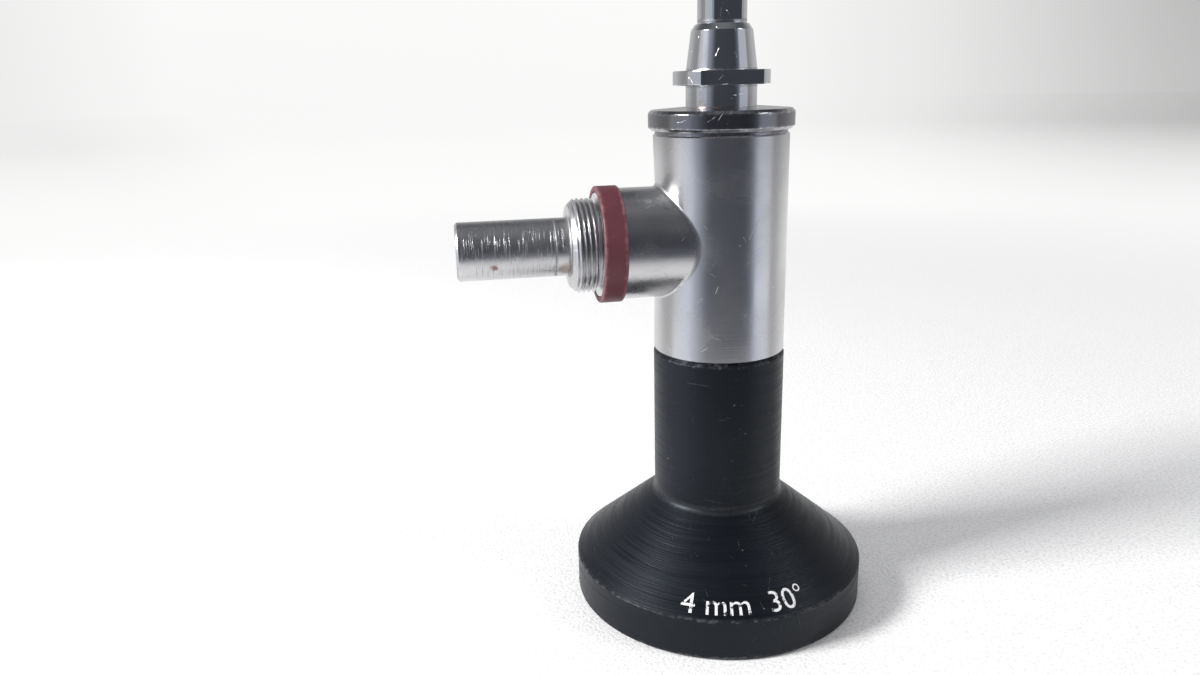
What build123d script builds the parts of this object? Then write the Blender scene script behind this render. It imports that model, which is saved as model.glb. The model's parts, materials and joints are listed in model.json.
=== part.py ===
from build123d import *
import math
import os

# Rigid endoscope with a slanted tip, standing on its eyepiece.
# Millimetres. The origin is the centre of the eyepiece's rim face, +Z runs up the optical axis
# to the tip, and the light post points along -X.

# Fits
slip = 0.02            # radial gap of one turned piece pushed into another
seal_gap = 0.01        # radial gap either side of a seal in its groove

# Eyepiece cup, turned in one piece with the barrel above it
rim_diameter = 31.75
rim_height = 4.45
rim_bevel = 0.3
rim_edge = 0.12
cone_height = 7.3
barrel_diameter = 13.9
barrel_top = 28.0
barrel_root_fillet = 0.8
barrel_bevel = 0.35
dish_diameter = 27.6
dish_floor_diameter = 12.4
dish_depth = 4.4
window_bore_diameter = 10.8
window_web = 1.0
window_web_bore = 8.4

# Eyepiece window and what holds it
retaining_ring_sink = 0.2
retaining_ring_height = 1.5
retaining_ring_bore = 8.0
spanner_slot_width = 1.0
spanner_slot_depth = 0.7
gasket_height = 0.4
gasket_bore = 8.6
window_height = 1.5

# Ocular tube, which screws into the body and carries the cup
ocular_tube_diameter = 11.4
ocular_tube_bore = 9.6
ocular_tube_insertion = 6.0
ocular_tube_lip = 0.55
ocular_lip_bore = 8.6
seal_section = 0.66
seal_seat_margin = 0.12
seal_setback = 1.6

# Ocular lens pair in its cell
cell_length = 5.9
cell_lip = 1.0
cell_lip_bore = 6.2
lens_diameter = 7.0
crown_edge = 1.5
flint_edge = 1.9
front_curve = 14.0
cement_curve = 10.0
cell_ring_height = 0.9
cell_ring_bore = 5.8
cell_ring_gap = 0.05

# Field stop and its spacer
stop_drop = 1.65         # below the barrel's top
stop_thickness = 0.3
stop_aperture = 2.6
stop_notch = 0.5
stop_spacer_wall = 0.45

# Body with its side branch
body_above_branch = 10.82
body_step = 0.12
body_cavity_diameter = 10.8
body_edge = 0.15
branch_rise = 11.68      # the branch's axis above the barrel's top
branch_step = 0.32       # how far the branch stands out from the ring's seat
branch_reach = 10.8
ring_seat_diameter = 10.7
ring_seat_length = 2.25
branch_blend = 0.35

# Cap on the body
cap_diameter = 14.72
cap_thickness = 2.0
cap_bevel = 0.3
cap_groove = 0.35
cap_groove_depth = 0.2
cap_spigot_length = 2.9

# Sheath coupling: neck, lock flange with two flats, and cone
tail_diameter = 6.0
tail_length = 4.9
neck_diameter = 7.1
neck_length = 2.3
flange_diameter = 9.7
flange_thickness = 1.4
flange_across_flats = 7.36
flange_edge = 0.08
cone_base_diameter = 7.06
cone_tip_diameter = 6.1
cone_length = 3.75
cone_shoulder_diameter = 5.3
cone_shoulder_length = 0.6

# Stem above the cone, with two flats
stem_diameter = 4.86
stem_across_flats = 4.04
stem_insertion = 5.5
stem_length = 16.0
stem_flats_start = 0.3
stem_flats_length = 10.5
stem_tip_bevel = 0.4
stem_lip = 0.1            # flat ring left between that bevel and the shaft

# Shaft
shaft_diameter = 4.0
shaft_wall = 0.18
shaft_foot_diameter = 3.84  # small end of the shaft's tapered foot
shaft_insertion = 4.0
working_length = 175.0     # from the top of the cone to the middle of the slanted tip
view_angle = 30.0          # degrees between the view and the shaft, away from the light post

# Optics tube inside the shaft
optics_tube_diameter = 3.1
optics_tube_wall = 0.12
optics_tube_seat = 1.0
mount_length = 6.3
mount_lip_bore = 2.6

# Rod lens train
rod_count = 6
rod_diameter = 2.8
rod_spacing = 4.0
rod_rim = 0.3
rod_end_curve = 6.0
spacer_wall = 0.25

# Objective behind the slanted window
window_inset = 0.05
tip_window_thickness = 0.45
prism_gap = 0.02
prism_length = 3.2
objective_spacer_length = 1.5
objective_length = 2.2
objective_curve = 4.0

# Light fibres, from the gap round the optics tube into the light post
fibre_start_drop = 0.75  # the foot of the sleeve below the sheath coupling
bundle_diameter = 2.6
bundle_offset = 3.05
fan_length = 2.6
fan_overlap = 0.2
bundle_bend = 4.6

# Light post
shank_start = 8.2
shank_diameter = 7.8
shank_bore = 2.9
undercut_diameter = 8.5
undercut_length = 0.4
thread_diameter = 9.6
thread_length = 1.85
nose_length = 0.7
nose_diameter = 8.3
post_diameter = 5.9
post_length = 11.3
post_bevel = 0.25
ferrule_diameter = 4.6
ferrule_length = 9.5
ferrule_sink = 0.1
post_seal_setback = 2.2

# Colour ring round the end of the branch
ring_wall = 0.56
ring_width = 2.3
ring_bevel = 0.15
ring_gap = 0.04

# Heights that follow from the sizes above
rim_radius = rim_diameter / 2
barrel_radius = barrel_diameter / 2
cone_top = rim_height + cone_height
ring_floor = dish_depth + retaining_ring_sink
gasket_floor = ring_floor + retaining_ring_height
window_floor = gasket_floor + gasket_height
window_top = window_floor + window_height
ocular_floor = window_top + window_web
ocular_radius = ocular_tube_diameter / 2
ocular_inner = ocular_tube_bore / 2
ocular_top = barrel_top + ocular_tube_insertion
cell_floor = ocular_floor + ocular_tube_lip
cell_top = cell_floor + cell_length
crown_floor = cell_floor + cell_lip
stop_height = barrel_top - stop_drop
mount_floor = stop_height + stop_thickness
optics_floor = mount_floor + optics_tube_seat
body_radius = barrel_radius - body_step / 2
branch_height = barrel_top + branch_rise
body_top = branch_height + body_above_branch
cap_floor = body_top + cap_groove
cap_top = cap_floor + cap_thickness
coupling_floor = cap_top - tail_length
fibre_start = coupling_floor - fibre_start_drop
flange_floor = cap_top + neck_length
flange_top = flange_floor + flange_thickness
cone_tip = flange_top + cone_length
shoulder_top = cone_tip + cone_shoulder_length
stem_floor = shoulder_top - stem_insertion
stem_top = shoulder_top + stem_length
shaft_floor = stem_top - shaft_insertion
shaft_radius = shaft_diameter / 2
channel_radius = shaft_radius - shaft_wall
optics_radius = optics_tube_diameter / 2
optics_inner = optics_radius - optics_tube_wall
rod_radius = rod_diameter / 2
tip_height = shoulder_top + working_length
tip_reach = tip_height + shaft_radius * math.tan(math.radians(view_angle))
prism_floor = tip_height - prism_length
objective_top = prism_floor - objective_spacer_length
objective_floor = objective_top - objective_length
branch_radius = ring_seat_diameter / 2 + branch_step
seat_end = branch_reach + ring_seat_length
thread_start = seat_end + undercut_length
thread_end = thread_start + thread_length
nose_end = thread_end + nose_length
post_end = nose_end + post_length
ferrule_start = post_end - ferrule_sink - ferrule_length

TIP_FACE = Plane((0, 0, tip_height), x_dir=(0, 1, 0), z_dir=(
    math.sin(math.radians(view_angle)), 0, math.cos(math.radians(view_angle))))
POST_AXIS = Plane((0, 0, branch_height), x_dir=(0, 1, 0), z_dir=(-1, 0, 0))


def turned(*outline):
    """Revolves a closed outline of (radius, height) points about the optical axis."""
    profile = make_face(Plane.XZ * Polyline(*outline, close=True))
    return revolve(profile, Axis.Z)


def turned_on_post(*outline):
    """The same about the light post's axis, with the second number the distance from the optical axis."""
    return POST_AXIS * turned(*outline)


def tube(outer, inner, floor, top):
    """A plain tube along the optical axis, from its radii and its two heights."""
    return turned((inner, floor), (outer, floor), (outer, top), (inner, top))


def rod(radius, floor, top):
    """A plain disc or rod along the optical axis."""
    return turned((0, floor), (radius, floor), (radius, top), (0, top))


def seal(groove_floor, height):
    """An O-ring standing on a groove of that radius, about the optical axis."""
    centre = groove_floor + seal_gap + seal_section / 2
    section = Plane.XZ * Pos(centre, height) * Circle(seal_section / 2)
    return revolve(section, Axis.Z)


def seal_groove(bore_radius, height):
    """The (outer radius, floor radius, lowest, highest) of a groove whose seal meets that bore."""
    floor = bore_radius - seal_section - 2 * seal_gap
    half = seal_section / 2 + seal_seat_margin
    return bore_radius, floor, height - half, height + half


def cut_at_tip(shape, depth=0.0):
    """Keeps what lies behind a plane that is parallel to the slanted tip face and that far below it."""
    face = Plane(TIP_FACE.origin - TIP_FACE.z_dir * depth, x_dir=TIP_FACE.x_dir, z_dir=TIP_FACE.z_dir)
    return split(shape, bisect_by=face, keep=Keep.BOTTOM)


def flatted(across, floor, top, outer):
    """Two blocks that leave a round piece with flats facing -Y and +Y, between two heights."""
    depth = outer - across / 2 + 1
    block = Box(4 * outer, depth, top - floor, align=(Align.CENTER, Align.MIN, Align.MIN))
    return Pos(0, across / 2, floor) * block + Pos(0, -across / 2 - depth, floor) * block


def eyepiece_cup():
    """Rim, cone and barrel, with the dish that the eye looks into and the bores behind it."""
    bore = window_bore_diameter / 2
    cup = turned(
        (dish_diameter / 2, 0),
        (rim_radius - rim_bevel, 0),
        (rim_radius, rim_bevel),
        (rim_radius, rim_height - rim_edge),
        (rim_radius - rim_edge, rim_height),
        (barrel_radius, cone_top),
        (barrel_radius, barrel_top - barrel_bevel),
        (barrel_radius - barrel_bevel, barrel_top),
        (ocular_radius + slip, barrel_top),
        (ocular_radius + slip, ocular_floor),
        (window_web_bore / 2, ocular_floor),
        (window_web_bore / 2, window_top),
        (bore, window_top),
        (bore, dish_depth),
        (dish_floor_diameter / 2, dish_depth),
    )
    root = cup.edges().filter_by(GeomType.CIRCLE).filter_by(
        lambda e: abs(e.radius - barrel_radius) < 1e-6 and abs(e.center().Z - cone_top) < 1e-6)
    return fillet(root, barrel_root_fillet)


def window_retaining_ring():
    """Screwed ring with two slots for a pin spanner, which holds the window in."""
    outer = window_bore_diameter / 2 - slip
    ring = tube(outer, retaining_ring_bore / 2, ring_floor, gasket_floor)
    slot = Pos(0, 0, ring_floor) * Box(2 * outer + 1, spanner_slot_width, 2 * spanner_slot_depth)
    return ring - slot


def window_gasket():
    """Flat gasket between the ring and the window."""
    return tube(window_bore_diameter / 2 - slip, gasket_bore / 2, gasket_floor, window_floor)


def eyepiece_window():
    """Flat disc of clear glass."""
    return rod(window_bore_diameter / 2 - slip, window_floor, window_top)


def barrel_seal_height():
    return barrel_top - seal_setback


def ocular_tube():
    """Tube inside the barrel, with an inner lip for the lens cell and a groove for the barrel's seal."""
    outer, groove, low, high = seal_groove(ocular_radius + slip, barrel_seal_height())
    return turned(
        (ocular_lip_bore / 2, ocular_floor),
        (ocular_radius, ocular_floor),
        (ocular_radius, low),
        (groove, low),
        (groove, high),
        (ocular_radius, high),
        (ocular_radius, ocular_top),
        (ocular_inner, ocular_top),
        (ocular_inner, cell_floor),
        (ocular_lip_bore / 2, cell_floor),
    )


def barrel_o_ring():
    groove = seal_groove(ocular_radius + slip, barrel_seal_height())[1]
    return seal(groove, barrel_seal_height())


def ocular_cell():
    """Short tube that holds the two ocular lenses against its own lip."""
    outer = ocular_inner - slip
    seat = lens_diameter / 2 + slip
    return turned(
        (cell_lip_bore / 2, cell_floor),
        (outer, cell_floor),
        (outer, cell_top),
        (seat, cell_top),
        (seat, crown_floor),
        (cell_lip_bore / 2, crown_floor),
    )


def sag(curve, radius):
    """How far a spherical surface of that curve falls away at that radius."""
    return curve - math.sqrt(curve ** 2 - radius ** 2)


def lens_faces():
    """Edge heights of the ocular pair: the crown's floor, the cemented face and the flint's top."""
    cemented = crown_floor + crown_edge
    return crown_floor, cemented, cemented + flint_edge


def ocular_crown_lens():
    """Lens bulging both ways, whose lower bulge reaches through the cell's lip."""
    floor, cemented, _ = lens_faces()
    rim, lip = lens_diameter / 2, cell_lip_bore / 2
    low = floor - sag(front_curve, lip)
    high = cemented + sag(cement_curve, rim)
    lower = ThreePointArc((0, low), (lip / 2, low + sag(front_curve, lip / 2)), (lip, floor))
    upper = ThreePointArc((rim, cemented), (rim / 2, high - sag(cement_curve, rim / 2)), (0, high))
    outline = lower + Polyline((lip, floor), (rim, floor), (rim, cemented)) + upper + Line((0, high), (0, low))
    return revolve(make_face(Plane.XZ * outline), Axis.Z)


def ocular_flint_lens():
    """Lens hollow below, to fit the crown lens, and flat above."""
    _, cemented, top = lens_faces()
    rim = lens_diameter / 2
    high = cemented + sag(cement_curve, rim)
    hollow = ThreePointArc((0, high), (rim / 2, high - sag(cement_curve, rim / 2)), (rim, cemented))
    outline = hollow + Polyline((rim, cemented), (rim, top), (0, top), (0, high))
    return revolve(make_face(Plane.XZ * outline), Axis.Z)


def cell_retaining_ring():
    """Screwed ring over the lens pair."""
    floor = lens_faces()[2] + cell_ring_gap
    return tube(lens_diameter / 2, cell_ring_bore / 2, floor, floor + cell_ring_height)


def stop_spacer():
    outer = ocular_inner - slip
    return tube(outer, outer - stop_spacer_wall, cell_top, stop_height)


def field_stop():
    """Thin disc that frames the picture, with the notch that shows which way is up."""
    disc = tube(ocular_inner - slip, stop_aperture / 2, stop_height, mount_floor)
    notch = Pos(0, stop_aperture / 2, stop_height) * Box(stop_notch, stop_notch, 4 * stop_thickness)
    return disc - notch


def optics_tube_mount():
    """Thick bush in the ocular tube that centres the foot of the optics tube."""
    seat = optics_radius + slip
    return turned(
        (mount_lip_bore / 2, mount_floor),
        (ocular_inner - slip, mount_floor),
        (ocular_inner - slip, mount_floor + mount_length),
        (seat, mount_floor + mount_length),
        (seat, optics_floor),
        (mount_lip_bore / 2, optics_floor),
    )


def main_body():
    """Hollow body with the branch for the light post, from one piece of steel."""
    shell = rod(body_radius, barrel_top, body_top)
    branch = turned_on_post((0, 0), (branch_radius, 0), (branch_radius, branch_reach), (0, branch_reach))
    body = shell + branch
    meet = body.edges().filter_by(
        lambda e: abs(e.center().X) < branch_reach - 1e-3
        and e.geom_type not in (GeomType.CIRCLE, GeomType.LINE))
    body = fillet(meet, branch_blend)
    ends = body.edges().filter_by(GeomType.CIRCLE).filter_by(
        lambda e: abs(e.radius - body_radius) < 1e-6)
    body = chamfer(ends, body_edge)
    seat = turned_on_post(
        (0, branch_reach - 1),
        (ring_seat_diameter / 2, branch_reach - 1),
        (ring_seat_diameter / 2, seat_end),
        (0, seat_end),
    )
    body = body + seat
    bores = turned(
        (0, barrel_top),
        (ocular_radius + slip, barrel_top),
        (ocular_radius + slip, ocular_top + slip),
        (body_cavity_diameter / 2, ocular_top + slip),
        (body_cavity_diameter / 2, body_top - cap_spigot_length - slip),
        (ocular_radius + slip, body_top - cap_spigot_length - slip),
        (ocular_radius + slip, body_top),
        (0, body_top),
    )
    post_bore = turned_on_post(
        (0, 0), (shank_diameter / 2 + slip, 0), (shank_diameter / 2 + slip, seat_end), (0, seat_end))
    return body - bores - post_bore


def cap_seal_height():
    return body_top - cap_spigot_length / 2


def body_cap():
    """Disc with bevelled edges over the body, and the spigot and seal groove below it."""
    outer = cap_diameter / 2
    _, groove, low, high = seal_groove(ocular_radius + slip, cap_seal_height())
    waist = body_radius - cap_groove_depth
    return turned(
        (tail_diameter / 2 + slip, body_top - cap_spigot_length),
        (ocular_radius, body_top - cap_spigot_length),
        (ocular_radius, low),
        (groove, low),
        (groove, high),
        (ocular_radius, high),
        (ocular_radius, body_top),
        (waist, body_top),
        (waist, cap_floor),
        (outer - cap_bevel, cap_floor),
        (outer, cap_floor + cap_bevel),
        (outer, cap_top - cap_bevel),
        (outer - cap_bevel, cap_top),
        (tail_diameter / 2 + slip, cap_top),
    )


def cap_o_ring():
    groove = seal_groove(ocular_radius + slip, cap_seal_height())[1]
    return seal(groove, cap_seal_height())


def sheath_coupling():
    """Neck, lock flange with two flats and cone, over which a sheath is pushed and locked."""
    stem_seat = stem_diameter / 2 + slip
    flange = flange_diameter / 2
    coupling = turned(
        (channel_radius, coupling_floor),
        (tail_diameter / 2, coupling_floor),
        (tail_diameter / 2, cap_top),
        (neck_diameter / 2, cap_top),
        (neck_diameter / 2, flange_floor),
        (flange - flange_edge, flange_floor),
        (flange, flange_floor + flange_edge),
        (flange, flange_top - flange_edge),
        (flange - flange_edge, flange_top),
        (cone_base_diameter / 2, flange_top),
        (cone_tip_diameter / 2, cone_tip),
        (cone_shoulder_diameter / 2, shoulder_top),
        (stem_seat, shoulder_top),
        (stem_seat, stem_floor),
        (channel_radius, stem_floor),
    )
    return coupling - flatted(flange_across_flats, flange_floor, flange_top, flange)


def shaft_stem():
    """Thick sleeve at the foot of the shaft, with two flats that run out below its full-round end."""
    outer = stem_diameter / 2
    foot_seat = shaft_foot_diameter / 2 + slip
    stem = turned(
        (channel_radius, stem_floor),
        (outer, stem_floor),
        (outer, stem_top - stem_tip_bevel),
        (shaft_radius + stem_lip, stem_top),
        (shaft_radius + slip, stem_top),
        (foot_seat, shaft_floor),
        (channel_radius, shaft_floor),
    )
    floor = shoulder_top + stem_flats_start
    return stem - flatted(stem_across_flats, floor, floor + stem_flats_length, outer)


def shaft_tube():
    """Outer tube, slanted at the tip, with a tapered foot that sits in the stem."""
    foot = shaft_foot_diameter / 2
    return cut_at_tip(turned(
        (channel_radius, shaft_floor),
        (foot, shaft_floor),
        (shaft_radius, stem_top),
        (shaft_radius, tip_reach + 1),
        (channel_radius, tip_reach + 1),
    ))


def optics_tube():
    """Inner tube that holds the lenses in line, ending in the same slanted face."""
    return cut_at_tip(tube(optics_radius, optics_inner, optics_floor, tip_reach + 1))


def rod_train():
    """(spacer floors, spacer length, rod floors, rod length), from the foot of the optics tube up."""
    length = objective_floor - optics_floor
    rod_length = (length - (rod_count + 1) * rod_spacing) / rod_count
    step = rod_length + rod_spacing
    spacers = [optics_floor + i * step for i in range(rod_count + 1)]
    rods = [optics_floor + rod_spacing + i * step for i in range(rod_count)]
    return spacers, rods, rod_length


def rod_lens(floor, length):
    """Glass rod with a spherical face at each end, inside a flat rim."""
    land = rod_radius - rod_rim
    rise = sag(rod_end_curve, land)
    part = sag(rod_end_curve, land / 2)
    top = floor + length
    lower = ThreePointArc((0, floor - rise), (land / 2, floor - rise + part), (land, floor))
    upper = ThreePointArc((land, top), (land / 2, top + rise - part), (0, top + rise))
    sides = Polyline((land, floor), (rod_radius, floor), (rod_radius, top), (land, top))
    outline = lower + sides + upper + Line((0, top + rise), (0, floor - rise))
    return revolve(make_face(Plane.XZ * outline), Axis.Z)


def rod_spacer(floor):
    return tube(rod_radius, rod_radius - spacer_wall, floor, floor + rod_spacing)


def objective_lens():
    """Small lens, bulging towards the eyepiece inside the last spacer."""
    land = rod_radius - rod_rim
    rise = sag(objective_curve, land)
    part = sag(objective_curve, land / 2)
    lower = ThreePointArc(
        (0, objective_floor - rise), (land / 2, objective_floor - rise + part), (land, objective_floor))
    sides = Polyline(
        (land, objective_floor),
        (rod_radius, objective_floor),
        (rod_radius, objective_top),
        (0, objective_top),
        (0, objective_floor - rise),
    )
    return revolve(make_face(Plane.XZ * (lower + sides)), Axis.Z)


def objective_spacer():
    return tube(rod_radius, rod_radius - spacer_wall, objective_top, prism_floor)


def view_prism():
    """Glass block that turns the view towards the slanted window."""
    block = rod(rod_radius, prism_floor, tip_reach)
    return cut_at_tip(block, window_inset + tip_window_thickness + prism_gap)


def distal_window():
    """Thin slanted window at the tip."""
    glass = rod(optics_inner - slip / 2, prism_floor, tip_reach)
    outer = cut_at_tip(glass, window_inset)
    return outer - cut_at_tip(glass, window_inset + tip_window_thickness)


def light_fibres():
    """The fibres as they are potted: a sleeve round the optics tube, a fan, and one bent bundle."""
    sleeve = rod(channel_radius - slip, fibre_start, tip_reach + 1)
    radius = bundle_diameter / 2
    low = fibre_start - fan_length
    fan = loft([
        Plane((0, 0, fibre_start + fan_overlap)) * Circle(channel_radius - slip),
        Plane((-bundle_offset, 0, low)) * Circle(radius),
    ])
    bend_top = branch_height + bundle_bend
    bend_out = -bundle_offset - bundle_bend
    shift = bundle_bend * (1 - math.sqrt(0.5))
    route = Line((-bundle_offset, 0, low), (-bundle_offset, 0, bend_top))
    route += ThreePointArc(
        (-bundle_offset, 0, bend_top),
        (-bundle_offset - shift, 0, branch_height + shift),
        (bend_out, 0, branch_height),
    )
    route += Line((bend_out, 0, branch_height), (-post_end + ferrule_sink, 0, branch_height))
    bundle = sweep(Plane((-bundle_offset, 0, low), z_dir=(0, 0, -1)) * Circle(radius), path=route)
    hole = rod(optics_radius + slip, optics_floor, tip_reach + 2)
    return cut_at_tip(sleeve + fan + bundle - hole)


def light_post():
    """Turned post: shank in the branch, threaded collar for an adapter, and the smooth plug end."""
    _, groove, low, high = seal_groove(shank_diameter / 2 + slip, seat_end - post_seal_setback)
    ferrule_seat = ferrule_diameter / 2 + slip
    tip = post_diameter / 2
    post = turned_on_post(
        (shank_bore / 2, shank_start),
        (shank_diameter / 2, shank_start),
        (shank_diameter / 2, low),
        (groove, low),
        (groove, high),
        (shank_diameter / 2, high),
        (shank_diameter / 2, seat_end),
        (undercut_diameter / 2, seat_end),
        (undercut_diameter / 2, thread_start),
        (thread_diameter / 2, thread_start),
        (thread_diameter / 2, thread_end),
        (nose_diameter / 2, nose_end),
        (tip, nose_end),
        (tip, post_end - post_bevel),
        (tip - post_bevel, post_end),
        (ferrule_seat, post_end),
        (ferrule_seat, ferrule_start),
        (shank_bore / 2, ferrule_start),
    )
    return post


def light_post_o_ring():
    height = seat_end - post_seal_setback
    groove = seal_groove(shank_diameter / 2 + slip, height)[1]
    return POST_AXIS * seal(groove, height)


def fibre_ferrule():
    """Sleeve in the mouth of the light post, which holds the ends of the fibres."""
    bore = bundle_diameter / 2 + slip
    outer = ferrule_diameter / 2
    end = ferrule_start + ferrule_length
    return turned_on_post((bore, ferrule_start), (outer, ferrule_start), (outer, end), (bore, end))


def colour_ring():
    """Coloured band round the end of the branch, which tells the view angle."""
    bore = ring_seat_diameter / 2 + ring_gap
    outer = bore + ring_wall
    end = branch_reach + ring_width
    return turned_on_post(
        (bore, branch_reach),
        (outer - ring_bevel, branch_reach),
        (outer, branch_reach + ring_bevel),
        (outer, end - ring_bevel),
        (outer - ring_bevel, end),
        (bore, end),
    )


def build():
    """Every piece of the endoscope by its node name."""
    spacers, rods, rod_length = rod_train()
    pieces = {
        "eyepiece_cup": eyepiece_cup(),
        "window_retaining_ring": window_retaining_ring(),
        "window_gasket": window_gasket(),
        "eyepiece_window": eyepiece_window(),
        "ocular_tube": ocular_tube(),
        "barrel_o_ring": barrel_o_ring(),
        "ocular_cell": ocular_cell(),
        "ocular_crown_lens": ocular_crown_lens(),
        "ocular_flint_lens": ocular_flint_lens(),
        "cell_retaining_ring": cell_retaining_ring(),
        "stop_spacer": stop_spacer(),
        "field_stop": field_stop(),
        "optics_tube_mount": optics_tube_mount(),
        "main_body": main_body(),
        "body_cap": body_cap(),
        "cap_o_ring": cap_o_ring(),
        "sheath_coupling": sheath_coupling(),
        "shaft_stem": shaft_stem(),
        "shaft_tube": shaft_tube(),
        "optics_tube": optics_tube(),
        "objective_lens": objective_lens(),
        "objective_spacer": objective_spacer(),
        "view_prism": view_prism(),
        "distal_window": distal_window(),
        "light_fibres": light_fibres(),
        "light_post": light_post(),
        "light_post_o_ring": light_post_o_ring(),
        "fibre_ferrule": fibre_ferrule(),
        "colour_ring": colour_ring(),
    }
    for i, floor in enumerate(spacers, 1):
        pieces[f"rod_spacer_{i}"] = rod_spacer(floor)
    for i, floor in enumerate(rods, 1):
        pieces[f"rod_lens_{i}"] = rod_lens(floor, rod_length)
    return pieces


os.makedirs("parts", exist_ok=True)
for node, piece in build().items():
    export_step(piece, f"parts/{node}.step")
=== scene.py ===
import json
import math

import bmesh
import bpy
import numpy as np
from bpy.props import FloatProperty, FloatVectorProperty, PointerProperty, StringProperty
from mathutils import Matrix, Vector


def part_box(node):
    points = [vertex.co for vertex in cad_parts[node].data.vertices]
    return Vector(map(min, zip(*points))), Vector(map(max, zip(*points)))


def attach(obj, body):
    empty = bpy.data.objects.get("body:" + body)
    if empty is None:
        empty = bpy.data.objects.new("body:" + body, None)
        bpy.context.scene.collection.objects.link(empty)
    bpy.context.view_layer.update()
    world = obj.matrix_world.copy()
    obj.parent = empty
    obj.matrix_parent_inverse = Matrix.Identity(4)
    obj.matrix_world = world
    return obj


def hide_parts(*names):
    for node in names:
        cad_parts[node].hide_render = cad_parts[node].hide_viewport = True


bl_info = {
    "name": "Rigid Endoscope",
    "version": (1, 0, 0),
    "blender": (4, 5, 0),
    "location": "View3D > Sidebar > Endoscope",
    "description": "Finishes a rigid endoscope with turned surfaces, worn metal and a studio",
    "category": "Add Mesh",
}

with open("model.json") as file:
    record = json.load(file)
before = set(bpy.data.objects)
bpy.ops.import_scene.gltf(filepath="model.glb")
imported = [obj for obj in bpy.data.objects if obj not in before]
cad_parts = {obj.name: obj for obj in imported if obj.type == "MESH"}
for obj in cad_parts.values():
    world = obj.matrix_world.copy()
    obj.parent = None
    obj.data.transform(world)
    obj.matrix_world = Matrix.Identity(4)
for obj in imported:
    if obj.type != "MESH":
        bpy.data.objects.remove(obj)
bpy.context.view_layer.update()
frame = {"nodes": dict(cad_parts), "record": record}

MM = 0.001
FULL_TURN = 2 * math.pi
ROOT = "root"
ORIGIN = (0.0, 0.0, 0.0)

# Meshing: radians between the points of a rounded corner, step on a straight stretch, strip beside a
# corner, longest stretch that is left undivided, and the angle from which an edge is shaded sharp
ARC_STEP = 0.2
STEP = 0.5 * MM
EDGE_STRIP = 0.06 * MM
SHORT_STRETCH = 0.3 * MM
CREASE = math.radians(35)
WEAR_FADE = 0.28 * MM
BRANCH_LIP = 0.05 * MM

cup_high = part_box("eyepiece_cup")[1]
body_low, body_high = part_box("main_body")
cap_low, cap_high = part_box("body_cap")
coupling_low, coupling_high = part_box("sheath_coupling")
stem_low, stem_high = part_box("shaft_stem")
shaft_low, shaft_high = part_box("shaft_tube")
post_low, post_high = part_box("light_post")
band_low, band_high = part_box("colour_ring")

branch_height = (post_low.z + post_high.z) / 2
AXIS = Matrix.Identity(4)
POST_AXIS = Matrix(((0, 0, -1, 0), (1, 0, 0, 0), (0, -1, 0, branch_height), (0, 0, 0, 1)))

# Tones of wear, pits, darkened inward corners and small parts
BLACK, WHITE = (0, 0, 0, 1), (1, 1, 1, 1)
RUBBED_BLACK = (0.13, 0.135, 0.14, 1)
GREY_FILM = (0.10, 0.10, 0.10, 1)
SCRATCHED_BLACK = (0.16, 0.16, 0.165, 1)
DUST = (0.42, 0.41, 0.40, 1)
BRIGHT_EDGE = (0.85, 0.85, 0.86, 1)
# The nook tone darkens the steel's inward corners
NOOK_DARK = (0.09, 0.08, 0.07, 1)
PIT_DIRT = (0.045, 0.04, 0.038, 1)
RUBBED_RED = (0.42, 0.22, 0.23, 1)
SCRATCHED_RED = (0.4, 0.25, 0.26, 1)
POTTING, FIBRE_END = (0.12, 0.09, 0.05, 1), (0.75, 0.73, 0.66, 1)
RUBBER, BLOOM = (0.02, 0.02, 0.02, 1), (0.06, 0.06, 0.058, 1)
MATT_BLACK, WORN_BLACK = (0.02, 0.02, 0.022, 1), (0.045, 0.045, 0.05, 1)
CLEAR = (0.93, 0.97, 0.98)

# Noise stretched along the lathe's rings, for pieces turned round Z and round X
RINGS_Z, RINGS_X = (70, 70, 6500), (7000, 500, 500)
CUP_RINGS, MOUNT_RINGS = (110, 110, 11000), (60, 60, 8000)

# Lamps: name, compass direction and height in degrees, width in metres, watts, seen in polished metal
LAMPS = (
    ("key_light", -172, 29, 0.16, 5.4, True),
    ("side_light", -30, 33, 0.14, 0.75, True),
    ("top_light", 80, 70, 0.30, 0.4, False),
)
LAMP_DISTANCE, LAMP_TARGET = 0.6, (0, 0, 0.035)

# The studio in polished metal. A lobe is a compass direction, its half-width where it starts and its
# half-width where it is full, all in degrees. Bright lobes have the tone that they add at the end.
REFLECTED_TONE, RIGHT_LOSS = 0.60, 0.06
BRIGHT_LOBES = ((72, 82, 40, 0.42), (-173, 22, 8, 1.15), (-30, 18, 7, 1.85))
DARK_LOBE, DARK_SHARE = (-94, 56, 30), 0.80
COOL_LOBE, COOL_HUE = (-100, 100, 30), (0.86, 0.93, 1.12, 1)
CEILING, CEILING_LIGHT = (0.105, 0.11, 0.12, 1), (1.1, 1.1, 1.1, 1)
WALL_SHARE = 0.60

# The backdrop that the camera sees: places from left to right with their tones, falling to grey on the right as
# painted shade
BACKDROP_ACROSS = (0.984, -0.179, 0)
BACKDROP_TONES = ((0.0, 0.84), (0.12, 0.95), (0.6, 0.96), (0.78, 0.81), (0.86, 0.68), (0.94, 0.53), (1.0, 0.44))
HORIZON = (0.86, 0.86, 0.855, 1)
PAPER = (0.99, 0.99, 0.985, 1)
ROOM_COLOUR, ROOM_STRENGTH = (0.80, 0.81, 0.84, 1), 0.43
FLOOR_DROP = 0.03 * MM

# The photograph's view: place in mm, heading, pitch and roll in radians, upward shift of the frame
VIEW_PLACE = (-27.03, -88.18, 55.68)
VIEW_HEADING, VIEW_PITCH, VIEW_ROLL = 0.1590, 0.2702, -0.0255
VIEW_SHIFT = -0.0088
SENSOR_WIDTH = 36.0

groups = {}
materials = {}


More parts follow.
